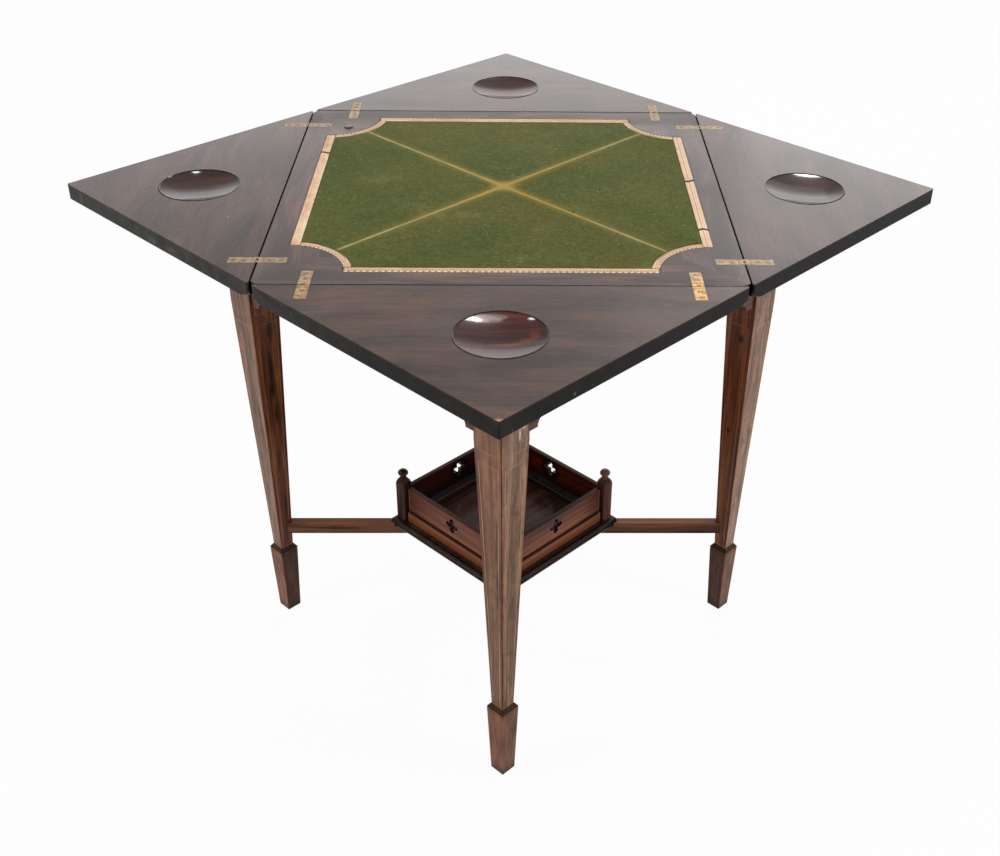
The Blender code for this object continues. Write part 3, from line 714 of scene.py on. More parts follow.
def tray_edge_material():
    colours = (0.006, 0.003, 0.003), (0.014, 0.008, 0.006), (0.036, 0.018, 0.012)
    return rosewood("tray_edge_rosewood", "rise", colours, gloss=(0.42, 0.06),
                    coat=(0.02, 0.2), shine=0.12, extra=tray_edge_extra)


def post_material():
    colours = (0.020, 0.006, 0.004), (0.080, 0.023, 0.012), (0.165, 0.050, 0.024)
    return rosewood("post_rosewood", "z", colours, gloss=(0.30, 0.08), coat=(0.10, 0.15),
                    vein_share=0.6, fineness=2.0, shine=0.14, extra=post_extra)


def carcase_material():
    graph = Graph("carcase_beech")
    share, _, pores = wood_figure(graph, graph.turned("rise"))
    graph.base(share, (0.35, (0.16, 0.085, 0.04)), (0.5, (0.28, 0.16, 0.08)),
               (0.66, (0.38, 0.24, 0.13)))
    return graph.finish((graph.less(share, pores), 0.0001, 0.4),
                        Roughness=graph.fit(share, 0.2, 0.5))


# Metal, leather and felt

def brass_material():
    graph = Graph("old_brass")
    tarnish = graph.noise(160.0, 5.0, 0.65)
    graph.base(tarnish, (0.32, (0.25, 0.160, 0.088)), (0.52, (0.46, 0.325, 0.200)),
               (0.72, (0.65, 0.495, 0.345)))
    # The front hinges are rubbed bright, and the hinges at the right are more tarnished
    graph.lay(graph.tinted((1.28, 1.08, 0.74)), graph.fall(graph.y, -0.30, -0.24),
              graph.step(graph.x, -0.10, 0.15, 0.45, 1.0))
    graph.lay((0.10, 0.085, 0.065), graph.step(graph.x, 0.18, 0.24),
              graph.step(graph.y, -0.28, -0.24), 0.32)
    cut = graph.line(graph.apart(axes(graph)[0], TOP_HALF), 0.0070, 0.0002, 0.0003)
    graph.lay((0.06, 0.04, 0.02), cut, 0.85)
    scratch = graph.noise(1.0, 2.0, stretch=(400.0, 2500.0, 400.0))
    height = graph.less(graph.times(scratch, 0.15), cut)
    return graph.finish((height, 0.0002, 0.5), Metallic=0.85,
                        Roughness=graph.fit(tarnish, 0.25, 0.28))


def steel_material():
    graph = Graph("old_steel")
    rust = graph.noise(120.0, 5.0, 0.7)
    graph.base(rust, (0.40, (0.17, 0.16, 0.15)), (0.60, (0.24, 0.22, 0.20)),
               (0.74, (0.16, 0.08, 0.04)))
    return graph.finish((rust, 0.0002, 0.4), Metallic=0.9, Roughness=graph.fit(rust, 0.4, 0.2))


def screw_material():
    graph = Graph("screw_brass")
    tarnish = graph.noise(400.0, 4.0, 0.6)
    graph.base(tarnish, (0.35, (0.13, 0.085, 0.035)), (0.65, (0.36, 0.26, 0.12)))
    return graph.finish(Metallic=0.8, Roughness=graph.fit(tarnish, 0.3, 0.3))


def baize_material():
    graph = Graph("green_baize")
    # The free edges of the closed leaves meet along the two diagonals
    first = graph.size(graph.less(graph.x, graph.y))
    second = graph.size(graph.math("ADD", graph.x, graph.y))
    away = graph.math("DIVIDE", graph.least(first, second), ROOT2)
    reach = graph.vector("LENGTH", graph.combine(graph.x, graph.y, 0.0))
    nap = graph.noise(900.0, 3.0, 0.7)
    weave = graph.noise(150.0, 4.0, 0.7, stretch=(1.0, 2.2, 1.0))
    fleck = graph.noise(330.0, 3.0, 0.7, stretch=(1.0, 1.6, 1.0))
    graph.base(graph.noise(7.0, 4.0, 0.6), (0.36, (0.084, 0.110, 0.025)),
               (0.50, (0.118, 0.128, 0.029)), (0.66, (0.148, 0.132, 0.031)))
    graph.colour = graph.mix(graph.step(fleck, 0.40, 0.68),
                             graph.mix(0.4, graph.colour, (0.03, 0.045, 0.012)),
                             graph.mix(0.25, graph.colour, (0.20, 0.21, 0.09)))
    graph.lay((0.035, 0.048, 0.014), graph.fall(weave, 0.30, 0.50, 0.50))
    graph.lay((0.26, 0.27, 0.13), graph.step(weave, 0.54, 0.74, 0.0, 0.42))
    graph.lay((0.320, 0.215, 0.045), graph.fall(away, 0.0, 0.016),
              graph.fall(reach, 0.02, 0.27, 1.0, 0.35), 0.55)
    graph.lay((0.500, 0.330, 0.085), graph.fall(reach, 0.0, 0.024, 0.75))
    wander = graph.fit(graph.noise(60.0), 0.0024, away)
    wander = graph.less(wander, graph.step(reach, 0.0, 0.10, 0.0018, 0.0))
    crease = graph.fall(wander, 0.0008, 0.0050)
    rubbed = graph.step(graph.noise(32.0, 3.0, 0.6), 0.30, 0.60, 0.60, 0.95)
    # Golden near the middle and paler outwards, most of all on the two left arms
    left = graph.step(graph.x, -0.12, 0.10, 0.10, 0.0)
    tone_shift = graph.mix(graph.step(graph.math("ADD", reach, left), 0.06, 0.24),
                     (0.46, 0.315, 0.085), (0.45, 0.41, 0.19))
    graph.lay(tone_shift, crease, rubbed, graph.fall(reach, 0.277, 0.284))
    graph.lay((0.40, 0.42, 0.30), flecks(graph, 80.0, (0.060, 0.085), (21.0, 0.44, 0.52)), 0.75)
    pale = graph.step(graph.noise(13.0, 4.0, 0.7), 0.56, 0.72, 0.0, 0.22)
    graph.lay((0.26, 0.26, 0.11), pale)
    graph.lay((0.012, 0.012, 0.006), spot(graph, (0.0899, -0.0832, TOP_HEIGHT), 0.0026))
    height = graph.math("ADD", nap, graph.times(graph.math("ADD", fleck, weave), 0.6))
    return graph.finish((height, 0.0005, 0.7), Roughness=0.95, Specular_IOR_Level=0.1,
                        Sheen_Weight=0.06, Sheen_Roughness=0.5, Sheen_Tint=(0.75, 0.80, 0.45))


# Where the tooling runs across a strip of leather, from its inner edge
INNER_RULE, DOTS, OUTER_RULE, DASHES = 0.43, 0.54, 0.67, 0.80
DASH_PITCH = 0.0073
DOT_PITCH = 0.0040
STRIP_EDGE = BORDER_HALF - BORDER_WIDTH - 0.001


def leather_material():
    """Tan leather strips: gilt dashes between dark rules, rubbed away at the left."""
    graph = Graph("tooled_leather")
    along, across, grime = (
        graph.add("ShaderNodeAttribute", {"attribute_name": name}).outputs["Fac"]
        for name in ("along", "across", "grime"))
    corner_start = BORDER_HALF - NOTCH_RADIUS
    corner = graph.step(axes(graph)[1], corner_start, corner_start + 0.0005)

    def strip(side):
        found = graph.step(side, STRIP_EDGE - 0.0005, STRIP_EDGE + 0.0005)
        return graph.times(found, graph.rest(corner))

    def repeats(period, half, soft):
        """Marks along the strip, which lean over at the corners."""
        slant = graph.times(graph.times(across, corner), 0.0030)
        beat = graph.math("DIVIDE", graph.math("ADD", along, slant), period)
        return graph.line(graph.math("FRACT", beat), 0.5, half, soft)

    left, right = strip(graph.times(graph.x, -1.0)), strip(graph.x)
    sharp = graph.most(strip(graph.times(graph.y, -1.0)), corner)
    tone_shift = graph.noise(26.0, 4.0, 0.6)
    grain = graph.noise(700.0, 4.0, 0.65)
    speck = graph.noise(420.0, 3.0, 0.7)
    graph.base(tone_shift, (0.34, (0.64, 0.335, 0.175)), (0.50, (0.80, 0.475, 0.270)),
               (0.68, (0.90, 0.610, 0.380)))
    graph.lay((0.26, 0.125, 0.045), graph.step(speck, 0.58, 0.70), graph.fit(left, 0.35, 0.5))
    graph.lay((0.95, 0.86, 0.68), graph.fall(speck, 0.46, 0.60), left,
              graph.step(across, 0.20, 0.60, 0.45, 0.05))
    graph.lay((0.95, 0.72, 0.52), right, 0.35)
    dash = repeats(DASH_PITCH, 0.24, 0.08)
    gilt = graph.times(dash, graph.line(across, DASHES, 0.08, 0.04))
    dots = graph.times(repeats(DOT_PITCH, 0.22, 0.10), graph.line(across, DOTS, 0.05, 0.04))
    kept = graph.times(graph.fit(left, -0.85, 1.0),
                       graph.step(graph.noise(60.0, 3.0, 0.6), 0.34, 0.50, 0.35, 1.0))
    # Old polish lies dark between the dashes of the front strip and the corners
    graph.lay((0.26, 0.110, 0.042), graph.line(across, DASHES, 0.12, 0.03), graph.rest(dash),
              sharp, 0.75)
    kept = graph.most(graph.times(kept, 0.6), sharp)
    graph.lay((0.98, 0.87, 0.64), graph.most(gilt, dots), kept, 0.95)
    outer = graph.times(graph.line(across, OUTER_RULE, 0.035, 0.03), graph.fit(right, -0.75, 1.0))
    rule = graph.most(graph.line(across, INNER_RULE, 0.022, 0.03), outer)
    rule = graph.times(rule, graph.step(tone_shift, 0.28, 0.45))
    rule = graph.most(rule, graph.times(corner, graph.line(across, 0.12, 0.05, 0.03)))
    rule = graph.times(rule, graph.fit(graph.rest(sharp), -0.35, 1.0), graph.fit(left, -0.9, 1.0))
    rule = graph.most(rule, graph.line(across, 1.0, 0.05, 0.06))
    graph.lay(graph.mix(right, (0.120, 0.042, 0.022), (0.290, 0.085, 0.045)), rule, 0.85)
    # Dirt and painted shade, darkest on the strips' sides down in the gaps and near their ends and
    # breaks
    graph.lay((0.020, 0.010, 0.006), grime, 0.92)
    height = graph.less(graph.times(grain, 0.5), rule)
    return graph.finish((height, 0.00025, 0.6), Roughness=graph.fit(grain, 0.2, 0.45),
                        Specular_IOR_Level=0.35)


def string_material(name, colours):
    graph = Graph(name)
    tone = graph.noise(2.0, 4.0, 0.65, stretch=(60.0, 60.0, 9.0))
    graph.base(tone, *zip((0.32, 0.50, 0.70), colours))
    graph.lay(colours[0], graph.step(graph.cells(40.0, (0.1, 0.1, 1.0)), 0.2, 0.5, 0.0, 0.2))
    return graph.finish(Roughness=graph.fit(tone, 0.2, 0.3), Coat_Weight=0.2,
                        Coat_Roughness=0.25)


def ebony_material():
    graph = Graph("dark_peg")
    grain = graph.noise(1.5, 4.0, stretch=(300.0, 90.0, 300.0))
    graph.base(grain, (0.35, (0.060, 0.036, 0.030)), (0.65, (0.150, 0.095, 0.078)))
    return graph.finish(Roughness=0.22, Coat_Weight=0.38, Coat_Roughness=0.16)


# Top and leaves

# Lip and step of a well, as distance beyond its radius and depth
LIP = ((0.0008, 0.0), (0.0004, 0.00005), (0.0001, 0.00018), (-0.0002, 0.00045),
       (-0.0006, 0.00085), (-0.0009, 0.00100))
BOWL_RINGS = 12
WELL_SLOT = 2
# How near a point lies to the rim that it belongs to, and what counts as beside a well
RIM_NEAR = 0.0001
WELL_MARGIN = 0.001
UPRIGHT = 0.8


def turn_well(build, centre):
    """Swap the plain bowl of a leaf for one with a rounded lip over a small step."""
    def away(point):
        return math.hypot(point.x - centre.x, point.y - centre.y)

    bowl = [face for face in build.faces
            if away(face.calc_center_median()) < WELL_RADIUS - RIM_NEAR
            and face.calc_center_median().z > TOP_HEIGHT - WELL_DEPTH - WELL_MARGIN
            and all(away(vert.co) < WELL_RADIUS + RIM_NEAR for vert in face.verts)]
    bmesh.ops.delete(build, geom=bowl, context="FACES")
    rim = [vert for vert in build.verts if vert.co.z > TOP_HEIGHT - RIM_NEAR
           and abs(away(vert.co) - WELL_RADIUS) < RIM_NEAR]
    rim.sort(key=lambda vert: math.atan2(vert.co.y - centre.y, vert.co.x - centre.x))
    lines = [(vert.co - centre).normalized() for vert in rim]
    stations = [(WELL_RADIUS + out, drop) for out, drop in LIP]
    edge, low = stations[-1]
    for i in range(1, BOWL_RINGS):
        inward = 1 - i / BOWL_RINGS
        stations.append((edge * inward, low + (WELL_DEPTH - low) * (1 - inward ** 2)))
    rows = [rim]
    for vert, line in zip(rim, lines):
        vert.co = centre + line * stations[0][0]
    for radius, drop in stations[1:]:
        rows.append([build.verts.new(centre + line * radius - UP * drop) for line in lines])
    bottom = build.verts.new(centre - UP * WELL_DEPTH)
    count = len(rim)
    for i in range(count):
        j = (i + 1) % count
        for outer, inner in zip(rows, rows[1:]):
            build.faces.new((outer[i], outer[j], inner[j], inner[i])).material_index = WELL_SLOT
        build.faces.new((rows[-1][i], rows[-1][j], bottom)).material_index = WELL_SLOT


def paint_sides(piece):
    """Give the upright outer faces their own material."""
    for face in piece.data.polygons:
        if abs(face.normal.z) < UPRIGHT and face.material_index == 0:
            far, near = sorted((abs(face.center.x), abs(face.center.y)), reverse=True)
            if math.hypot(far - WELL_DISTANCE, near) > WELL_RADIUS + WELL_MARGIN:
                face.material_index = 1


# The painted shadow line round a well: how far beyond the rim, its height, depth, widths and half
# its turn
LINE_AWAY = 0.0009
LINE_PROUD = 0.00004
LINE_DEPTH = 0.0003
LINE_WIDTH = 0.0005
LINE_SWELL = 0.0024
LINE_TURN = math.radians(84)
LINE_STEPS = 48


def build_well_shadow_line(index, word, line_shade):
    """A painted shadow line, dark and matte, let into the top round the near side of a well."""
    centre = turn_z(QUARTER * index) @ Vector((WELL_DISTANCE, 0.0, 0.0))
    build = bmesh.new()
    rings = []
    inner = WELL_RADIUS + LINE_AWAY
    for i in range(LINE_STEPS + 1):
        lean = LINE_TURN * (2 * i / LINE_STEPS - 1)
        width = LINE_WIDTH + LINE_SWELL * max(0.0, math.cos(lean)) ** 1.5
        width *= 1 + 0.25 * noise.noise(Vector((i * 0.31, index * 5.0, 0.0)))
        width *= min(1.0, 0.1 + 0.3 * min(i, LINE_STEPS - i))
        away = Vector((math.cos(lean - QUARTER), math.sin(lean - QUARTER), 0.0))
        rings.append([centre + away * radius + UP * (TOP_HEIGHT + rise)
                      for radius, rise in ((inner, LINE_PROUD), (inner, -LINE_DEPTH),
                                           (inner + width, -LINE_DEPTH),
                                           (inner + width, LINE_PROUD))])
    skin(build, rings)
    dress(new_object("well_line_" + word, build, line_shade), f"leaf_{word}_body", "rosewood_leaf")


def build_top():
    edge = dark_edge()
    # Flat dark materials for the painted shade in the joints and the painted shadow line round each
    # well
    joint_shade_paint = shade_paint_material("joint_painted_shade", (0.002, 0.002, 0.002), (0.007, 0.005, 0.005))
    line_shade = shade_paint_material("well_line_wax", (0.030, 0.020, 0.018), (0.075, 0.050, 0.044))
    well = well_material()
    for index, word in enumerate(LEAVES):
        centre = turn_z(QUARTER * index) @ Vector((WELL_DISTANCE, 0.0, 0.0)) + UP * TOP_HEIGHT
        leaf = refined("leaf_" + word, leaf_veneer["yx"[index % 2]], edge, well, joint_shade_paint,
                       smooth=12.5, joints=True,
                       shape=lambda build, centre=centre: turn_well(build, centre))
        paint_sides(leaf)
        build_well_shadow_line(index, word, line_shade)
    paint_sides(refined("top_board", board_material(), edge, joint_shade_paint, joints=True))
    refined("lifter_peg", ebony_material(), width=0.0003)


build_top()

# Felt and leather

# The straight sides of the felt: points, least length, and how far the cut strays
SIDE_STEPS = 150
SIDE_LEAST = 0.05
SIDE_OUT = 0.0001
SIDE_STRAY = 0.00035
STRAY_FINENESS = 170
# The felt's edge, as distance inside its opening and height
FELT_EDGE = ((0.0010, LINING_FLOOR + 0.0001), (0.0006, 0.72860), (0.0010, 0.72895),
             (0.0020, 0.72915))


def baize_outline(inset, steps=24):
    half = BORDER_HALF - BORDER_WIDTH - inset
    radius = NOTCH_RADIUS + ARC_WIDTH + inset
    points = []
    for corner in range(4):
        turn = QUARTER * corner
        centre = Vector((math.cos(turn + EIGHTH), math.sin(turn + EIGHTH))) * BORDER_HALF * ROOT2
        lean = math.asin((BORDER_HALF - half) / radius)
        first, last = turn - QUARTER - lean, turn - math.pi + lean
        for step in range(steps + 1):
            angle = first + (last - first) * step / steps
            points.append(centre + radius * Vector((math.cos(angle), math.sin(angle))))
    # The straight sides are cut by hand, and so a little ragged
    outline = []
    for here, after in zip(points, points[1:] + points[:1]):
        outline.append((here.x, here.y))
        if (after - here).length > SIDE_LEAST:
            across = Vector((-(after - here).y, (after - here).x)).normalized()
            for i in range(1, SIDE_STEPS):
                place = here.lerp(after, i / SIDE_STEPS)
                stray = noise.noise(Vector((*(place * STRAY_FINENESS), 3.0)))
                place += across * (SIDE_STRAY * stray + SIDE_OUT)
                outline.append((place.x, place.y))
    return outline


def build_baize():
    """Felt sheet with a rolled edge."""
    build = bmesh.new()
    rings = [[(x, y, height) for x, y in baize_outline(inset)] for inset, height in FELT_EDGE]
    skin(build, rings)
    piece = new_object("baize_sheet", build, baize_material(), smooth=60)
    dress(piece, "top", "baize", "baize_panel")


def border_strips():
    """The eight strips of leather: kind, side, a function from (share along, share across)
    to a point, and length."""
    strips = []
    end = BORDER_HALF - NOTCH_RADIUS
    for side in range(4):
        turn = turn_z(QUARTER * side)

        def straight(s, t, turn=turn):
            return turn @ Vector((BORDER_HALF - BORDER_WIDTH * (1 - t), -end + 2 * end * s, 0.0))

        def arc(s, t, turn=turn):
            radius = NOTCH_RADIUS + ARC_WIDTH * (1 - t)
            lean = math.asin((BORDER_WIDTH + 0.0003) / radius)
            angle = math.pi + lean + (QUARTER - 2 * lean) * s
            return turn @ Vector((BORDER_HALF + radius * math.cos(angle),
                                  BORDER_HALF + radius * math.sin(angle), 0.0))

        strips.append(("side", side, straight, 2 * end))
        strips.append(("corner", side, arc, QUARTER * NOTCH_RADIUS))
    return strips


# Stations across a strip, closest where its relief is finest
ACROSS = (0.0, 0.03, 0.10, 0.24, 0.38, 0.42, 0.46, 0.50, 0.54, 0.58, 0.63, 0.67, 0.71, 0.75, 0.80,
          0.85, 0.90, 0.96, 1.0)
# Breaks in the leather, as strip kind, side and place along it
BREAKS = {("side", 0): (0.559, 0.138), ("side", 2): (0.184,)}
BREAK_HALF = 0.0016
BREAK_SWAY = 0.0022
BREAK_REACH = 0.006
STRIP_STEP = 0.0011
LEATHER_LIFT = 0.0001
FLOOR_GAP = 0.0002
# What the ends of a strip drop by, and how far the drop and the dirt and painted shade reach
END_DROP = 0.00035
END_REACH = 0.0009
GRIME_AND_SHADE_REACH = 0.0018
# Heights of the tooling, and the pitch of its raised dashes
GROUND_DROP = 0.00010
RULE_DROP = 0.00012
DASH_RISE = 0.00016
DOT_RISE = 0.00012
EDGE_DROP = 0.00030
GRAIN_RISE = 0.00008
RAISED_PITCH = 0.0075


def peak(value, centre, half):
    return max(0.0, 1 - abs(value - centre) / half)


def border_height(along, across, length):
    """Tooled relief, in metres above the board."""
    rise = -GROUND_DROP
    for rule in (0.42, OUTER_RULE):
        rise -= RULE_DROP * peak(across, rule, 0.05)
    dash, dot = (along / RAISED_PITCH) % 1.0, (along / DOT_PITCH) % 1.0
    rise += DASH_RISE * peak(across, DASHES, 0.10) * peak(dash, 0.5, 0.35)
    rise += DOT_RISE * peak(across, DOTS, 0.09) * peak(dot, 0.5, 0.4)
    rise -= EDGE_DROP * peak(min(across, 1 - across), 0.0, 0.04)
    rise += GRAIN_RISE * noise.noise(Vector((along * 90, across * 3, length * 40)))
    return rise


def build_border():
    """Strips of leather, each point with its place along and across and the dirt and painted shade
    on it.
    """
    build = bmesh.new()
    layers = [build.verts.layers.float.new(name) for name in ("along", "across", "grime")]
    for kind, side, shape, length in border_strips():
        bounds = [0.0, *sorted(BREAKS.get((kind, side), ())), 1.0]
        for start, stop in zip(bounds, bounds[1:]):
            slack = BREAK_HALF / length
            first = start + (slack if start else 0.0)
            last = stop - (slack if stop < 1 else 0.0)
            steps = max(6, int((last - first) * length / STRIP_STEP))
            rings = []
            for i in range(steps + 1):
                s = first + (last - first) * i / steps
                along = s * length + side * 0.37
                near = min(s - first, last - s) * length
                level = TOP_HEIGHT + LEATHER_LIFT - END_DROP * peak(near, 0.0, END_REACH)
                # The breaks run across in a wavy line
                cut = start if i < steps / 2 else stop
                hold = BREAK_SWAY * peak(near, 0.0, BREAK_REACH) if 0 < cut < 1 else 0.0
                ring = []
                for t in ACROSS:
                    sway = hold * math.sin(5.0 * t + 40.0 * cut) / length
                    point = shape(s + sway, t) + UP * (level + border_height(along, t, length))
                    ring.append((point, along, t, peak(near, 0.0, GRIME_AND_SHADE_REACH)))
                for t in (1.0, 0.0):
                    ring.append((shape(s, t) + UP * (LINING_FLOOR + FLOOR_GAP), along, t, 1.0))
                rings.append(ring)
            rows = skin(build, [[point for point, *_ in ring] for ring in rings])
            for ring, row in zip(rings, rows):
                for (_, *values), vert in zip(ring, row):
                    for layer, value in zip(layers, values):
                        vert[layer] = value
    piece = new_object("leather_tooling", build, leather_material(), smooth=50)
    dress(piece, "top", "leather", "leather_border")


build_baize()
build_border()

# Hinges

SCREW_RADIUS = 0.0031
SCREW_PLACES = (0.0150, 0.0285)
SCREW_STRAY = 0.0006
SCREW_PROUD = 0.00010
SCREW_ARRIS = 0.00008
SCREW_DEPTH = 0.0006
SLOT_DEPTH = 0.00045
SLOT_FLOOR = 0.00012
RIM_SHARE = 0.93
SLOT_WIDTH_SHARE = 0.16
SLOT_LENGTH_SHARE = 0.95
DISC_STEPS = 12
KNUCKLE_PROUD = 0.0003


def add_screw(build, centre, radius, angle):
    """Countersunk head with a cut slot, standing a hair above the plate."""
    slot_half = radius * SLOT_WIDTH_SHARE
    rim = radius * RIM_SHARE
    top = centre.z + SCREW_PROUD
    turn = turn_z(angle)

    def point(x, y, z):
        return Vector((centre.x, centre.y, 0.0)) + turn @ Vector((x, y, 0.0)) + UP * z

    # Two half discs and a sunken slot between them
    lean = math.asin(slot_half / rim)
    for first in (lean, math.pi + lean):
        angles = [first + (math.pi - 2 * lean) * i / DISC_STEPS for i in range(DISC_STEPS + 1)]
        skin(build, [[point(reach * math.cos(a), reach * math.sin(a), top - drop)
                      for a in angles]
                     for reach, drop in ((radius, SCREW_DEPTH), (radius, SCREW_ARRIS), (rim, 0.0))])
    reach = radius * SLOT_LENGTH_SHARE
    floor = top - SLOT_DEPTH
    skin(build, [[point(x, y, z) for x, y in ((-reach, -slot_half), (reach, -slot_half),
                                              (reach, slot_half), (-reach, slot_half))]
                 for z in (floor - SLOT_FLOOR, floor)])


def build_screws():
    shuffle = random.Random(7)
    groups = {"top": bmesh.new()}
    for index, word in enumerate(LEAVES):
        groups[f"leaf_{word}_body"] = bmesh.new()
        turn = turn_z(QUARTER * index)
        for offset in (-HINGE_OFFSET, HINGE_OFFSET):
            for away in SCREW_PLACES:
                for body, sign in (("top", -1), (f"leaf_{word}_body", 1)):
                    stray = shuffle.uniform(-SCREW_STRAY, SCREW_STRAY)
                    centre = turn @ Vector((TOP_HALF + sign * away, offset + stray, TOP_HEIGHT))
                    add_screw(groups[body], centre, SCREW_RADIUS, shuffle.uniform(0, math.pi))
    material = screw_material()
    for body, build in groups.items():
        dress(new_object("screws_" + body, build, material, smooth=30), body, "brass")


def build_hinges():
    brass = brass_material()
    for word in LEAVES:
        for tail in ("low", "high"):
            for part in ("board", "leaf"):
                plate = refined(f"hinge_{part}_plate_{word}_{tail}", brass, width=0.00015)
                # The knuckle is worn down almost flush
                for vert in plate.data.vertices:
                    vert.co.z = min(vert.co.z, TOP_HEIGHT + KNUCKLE_PROUD)


build_screws()
build_hinges()

# Base


def build_base():
    post, steel = post_material(), steel_material()
    for word in LEGS:
        leg = refined("leg_" + word, *leg_finishes, width=0.0005)
        # Inward faces take the shaded copy of the wood, the others a lit copy by the way they face
        for face in leg.data.polygons:
            outward = face.normal.x * face.center.x + face.normal.y * face.center.y
            face.material_index = 2 if outward < 0 else int(face.normal.x > 0)
        refined("tray_post_" + word, post, width=0.0003, smooth=45)
    woods = [(frame_material(grain), tray_material(grain)) for grain in ("rise", "fall")]
    for index, word in enumerate(SIDES):
        frame_wood, tray_wood = woods[index % 2]
        refined("apron_" + word, frame_wood, width=0.0004)
        for tail in ("low", "high"):
            refined(f"bracket_{word}_{tail}", frame_wood, width=0.0004)
        refined("tray_wall_" + word, tray_wood, width=0.0003)
    board = refined("tray_board", tray_floor_material(), tray_edge_material(), width=0.0002)
    for face in board.data.polygons:
        turned = turn_z(-EIGHTH) @ face.center
        face.material_index = int(max(abs(turned.x), abs(turned.y)) > WALL_INNER)
    refined("stretcher_side", stretcher_material("x"), width=0.0005)
    refined("stretcher_long", stretcher_material("y"), width=0.0005)
    refined("pivot_rail", carcase_material(), width=0.0006)
    for word in ("bolt", "washer", "nut"):
        refined("pivot_" + word, steel, width=0.0002)


# Profile of the moulding round the tray's floor, as distance from the wall and height
MOULDING = ((0.0001, TRAY_FLOOR), (0.0001, 0.1935), (0.0008, 0.1940), (0.0018, 0.1932),
            (0.0062, 0.1868), (0.0070, 0.1856), (0.0072, 0.1844), (0.0072, TRAY_FLOOR))
MITRE_GAP = 0.00002


def moulding_material():
    graph = Graph("tray_moulding")
    share, vein, pores = wood_figure(graph, graph.turned("rise"), 1.5)
    graph.base(share, (0.36, (0.006, 0.005, 0.006)), (0.62, (0.022, 0.017, 0.018)))
    graph.lay((0.004, 0.003, 0.003), vein, 0.5)
    graph.lay((0.160, 0.060, 0.024), graph.line(graph.z, 0.1858, 0.0005, 0.0006), 0.7)
    return graph.finish((pores, 0.00005, 0.5), Roughness=0.46, Specular_IOR_Level=0.06)


def build_moulding():
    """Sloping strips in the corner between the tray's walls and its floor."""
    build = bmesh.new()
    for index in range(4):
        skin(build, [[base_point(WALL_INNER - away, sign * (WALL_INNER - away - MITRE_GAP),
                                 height, index) for away, height in MOULDING]
                     for sign in (-1, 1)])
    piece = new_object("tray_moulding", build, moulding_material(), smooth=35)
    dress(piece, "base", "rosewood_tray")


build_base()
build_moulding()

STRING_HALF = 0.0006
STRING_PROUD = 0.00006
STRING_DEPTH = 0.0003
STRING_INSET = 0.0066
# The long strings stand this far inside a leg's edge at the ankle, and further up more so
STRING_EDGE = 0.0048
STRING_SLOPE = 0.0018 / 0.45
END_SHARE = 0.7
# String panels on each face of a leg: top, bottom and the end that is drawn
PANELS = ((0.700, 0.546, 0.546), (0.528, 0.140, 0.528))


def leg_half(height):
    share = min(1.0, (height - LEG_TAPER_LOW) / (LEG_TAPER_TOP - LEG_TAPER_LOW))
    return LEG_ANKLE_HALF + (LEG_TOP_HALF - LEG_ANKLE_HALF) * share


def add_string(build, turn, stations, thickness=STRING_HALF):
    """A flat line let into a leg's face, through (across, height) stations."""
    rings = []
    for i, (across, height) in enumerate(stations):
        before, after = stations[max(0, i - 1)], stations[min(len(stations) - 1, i + 1)]
        lean = Vector((after[0] - before[0], after[1] - before[1])).normalized()
        side = Vector((-lean.y, lean.x)) * thickness
        ring = []
        for sign, proud in ((1, STRING_PROUD), (1, -STRING_DEPTH), (-1, -STRING_DEPTH),
                            (-1, STRING_PROUD)):
            z = height + sign * side.y
            ring.append(turn @ Vector((across + sign * side.x, leg_half(z) + proud, z)))
        rings.append(ring)
    skin(build, rings)


def build_strings():
    """String panels on each leg: a short one over a long tapering one."""
    # Lit and shaded copies of one boxwood: the strings on the inner faces are painted darker, as in
    # shade
    boxwood = (string_material("boxwood_string", ((0.19, 0.088, 0.046), (0.38, 0.210, 0.120),
                                                  (0.56, 0.350, 0.215))),
               string_material("boxwood_string_shaded", ((0.070, 0.022, 0.010),
                                                       (0.200, 0.072, 0.030),
                                                       (0.330, 0.135, 0.058))))
    for index, word in enumerate(LEGS):
        build = bmesh.new()
        for face in range(4):
            spin = turn_z(QUARTER * face)
            for top, low, end in PANELS:
                heights = {low + (top - low) * i / 10 for i in range(11)}
                if low < LEG_TAPER_TOP < top:
                    heights.add(LEG_TAPER_TOP)
                for sign in (1, -1):
                    add_string(build, spin, [
                        (sign * (leg_half(z) - STRING_EDGE - STRING_SLOPE * (z - LEG_TAPER_LOW)), z)
                        for z in sorted(heights)])
                reach = leg_half(end) - STRING_INSET + STRING_HALF
                add_string(build, spin, [(-reach, end), (reach, end)],
                           STRING_HALF * END_SHARE)
        for vert in build.verts:
            x, y, z = vert.co
            vert.co = base_point(x + LEG_SIDE, y + LEG_SIDE, z, index)
        piece = new_object("string_inlay_" + word, build, *boxwood)
        # Inner faces take the shaded copy of the string
        for face in piece.data.polygons:
            side = face.center.xy.normalized()
            centre = Vector((round(side.x), round(side.y)))
            outward = (face.center.xy - centre * LEG_DISTANCE).dot(centre)
            face.material_index = int(outward < 0)
        dress(piece, "base", "rosewood_leg")


build_strings()

# Stage, lamps and camera

FLOOR_REACH = 14.0
FLOOR_DROP = 0.0004


def pale_floor():
    """White to the camera and in reflections, pale grey under shadows."""
    material = bpy.data.materials.new("pale_floor")
    material.use_nodes = True
    graph = Nodes(material.node_tree)
    graph.tree.nodes.clear()
    rays = graph.add("ShaderNodeLightPath").outputs
    seen = graph.most(rays["Is Camera Ray"], rays["Is Glossy Ray"])
    seen = graph.most(seen, rays["Is Transmission Ray"])
    graph.join("ShaderNodeOutputMaterial", graph.times(seen, 0.95),
               graph.add("ShaderNodeBsdfDiffuse", Color=(0.90, 0.90, 0.90)),
               graph.add("ShaderNodeEmission", Color=WHITE, Strength=1.0))
    return material


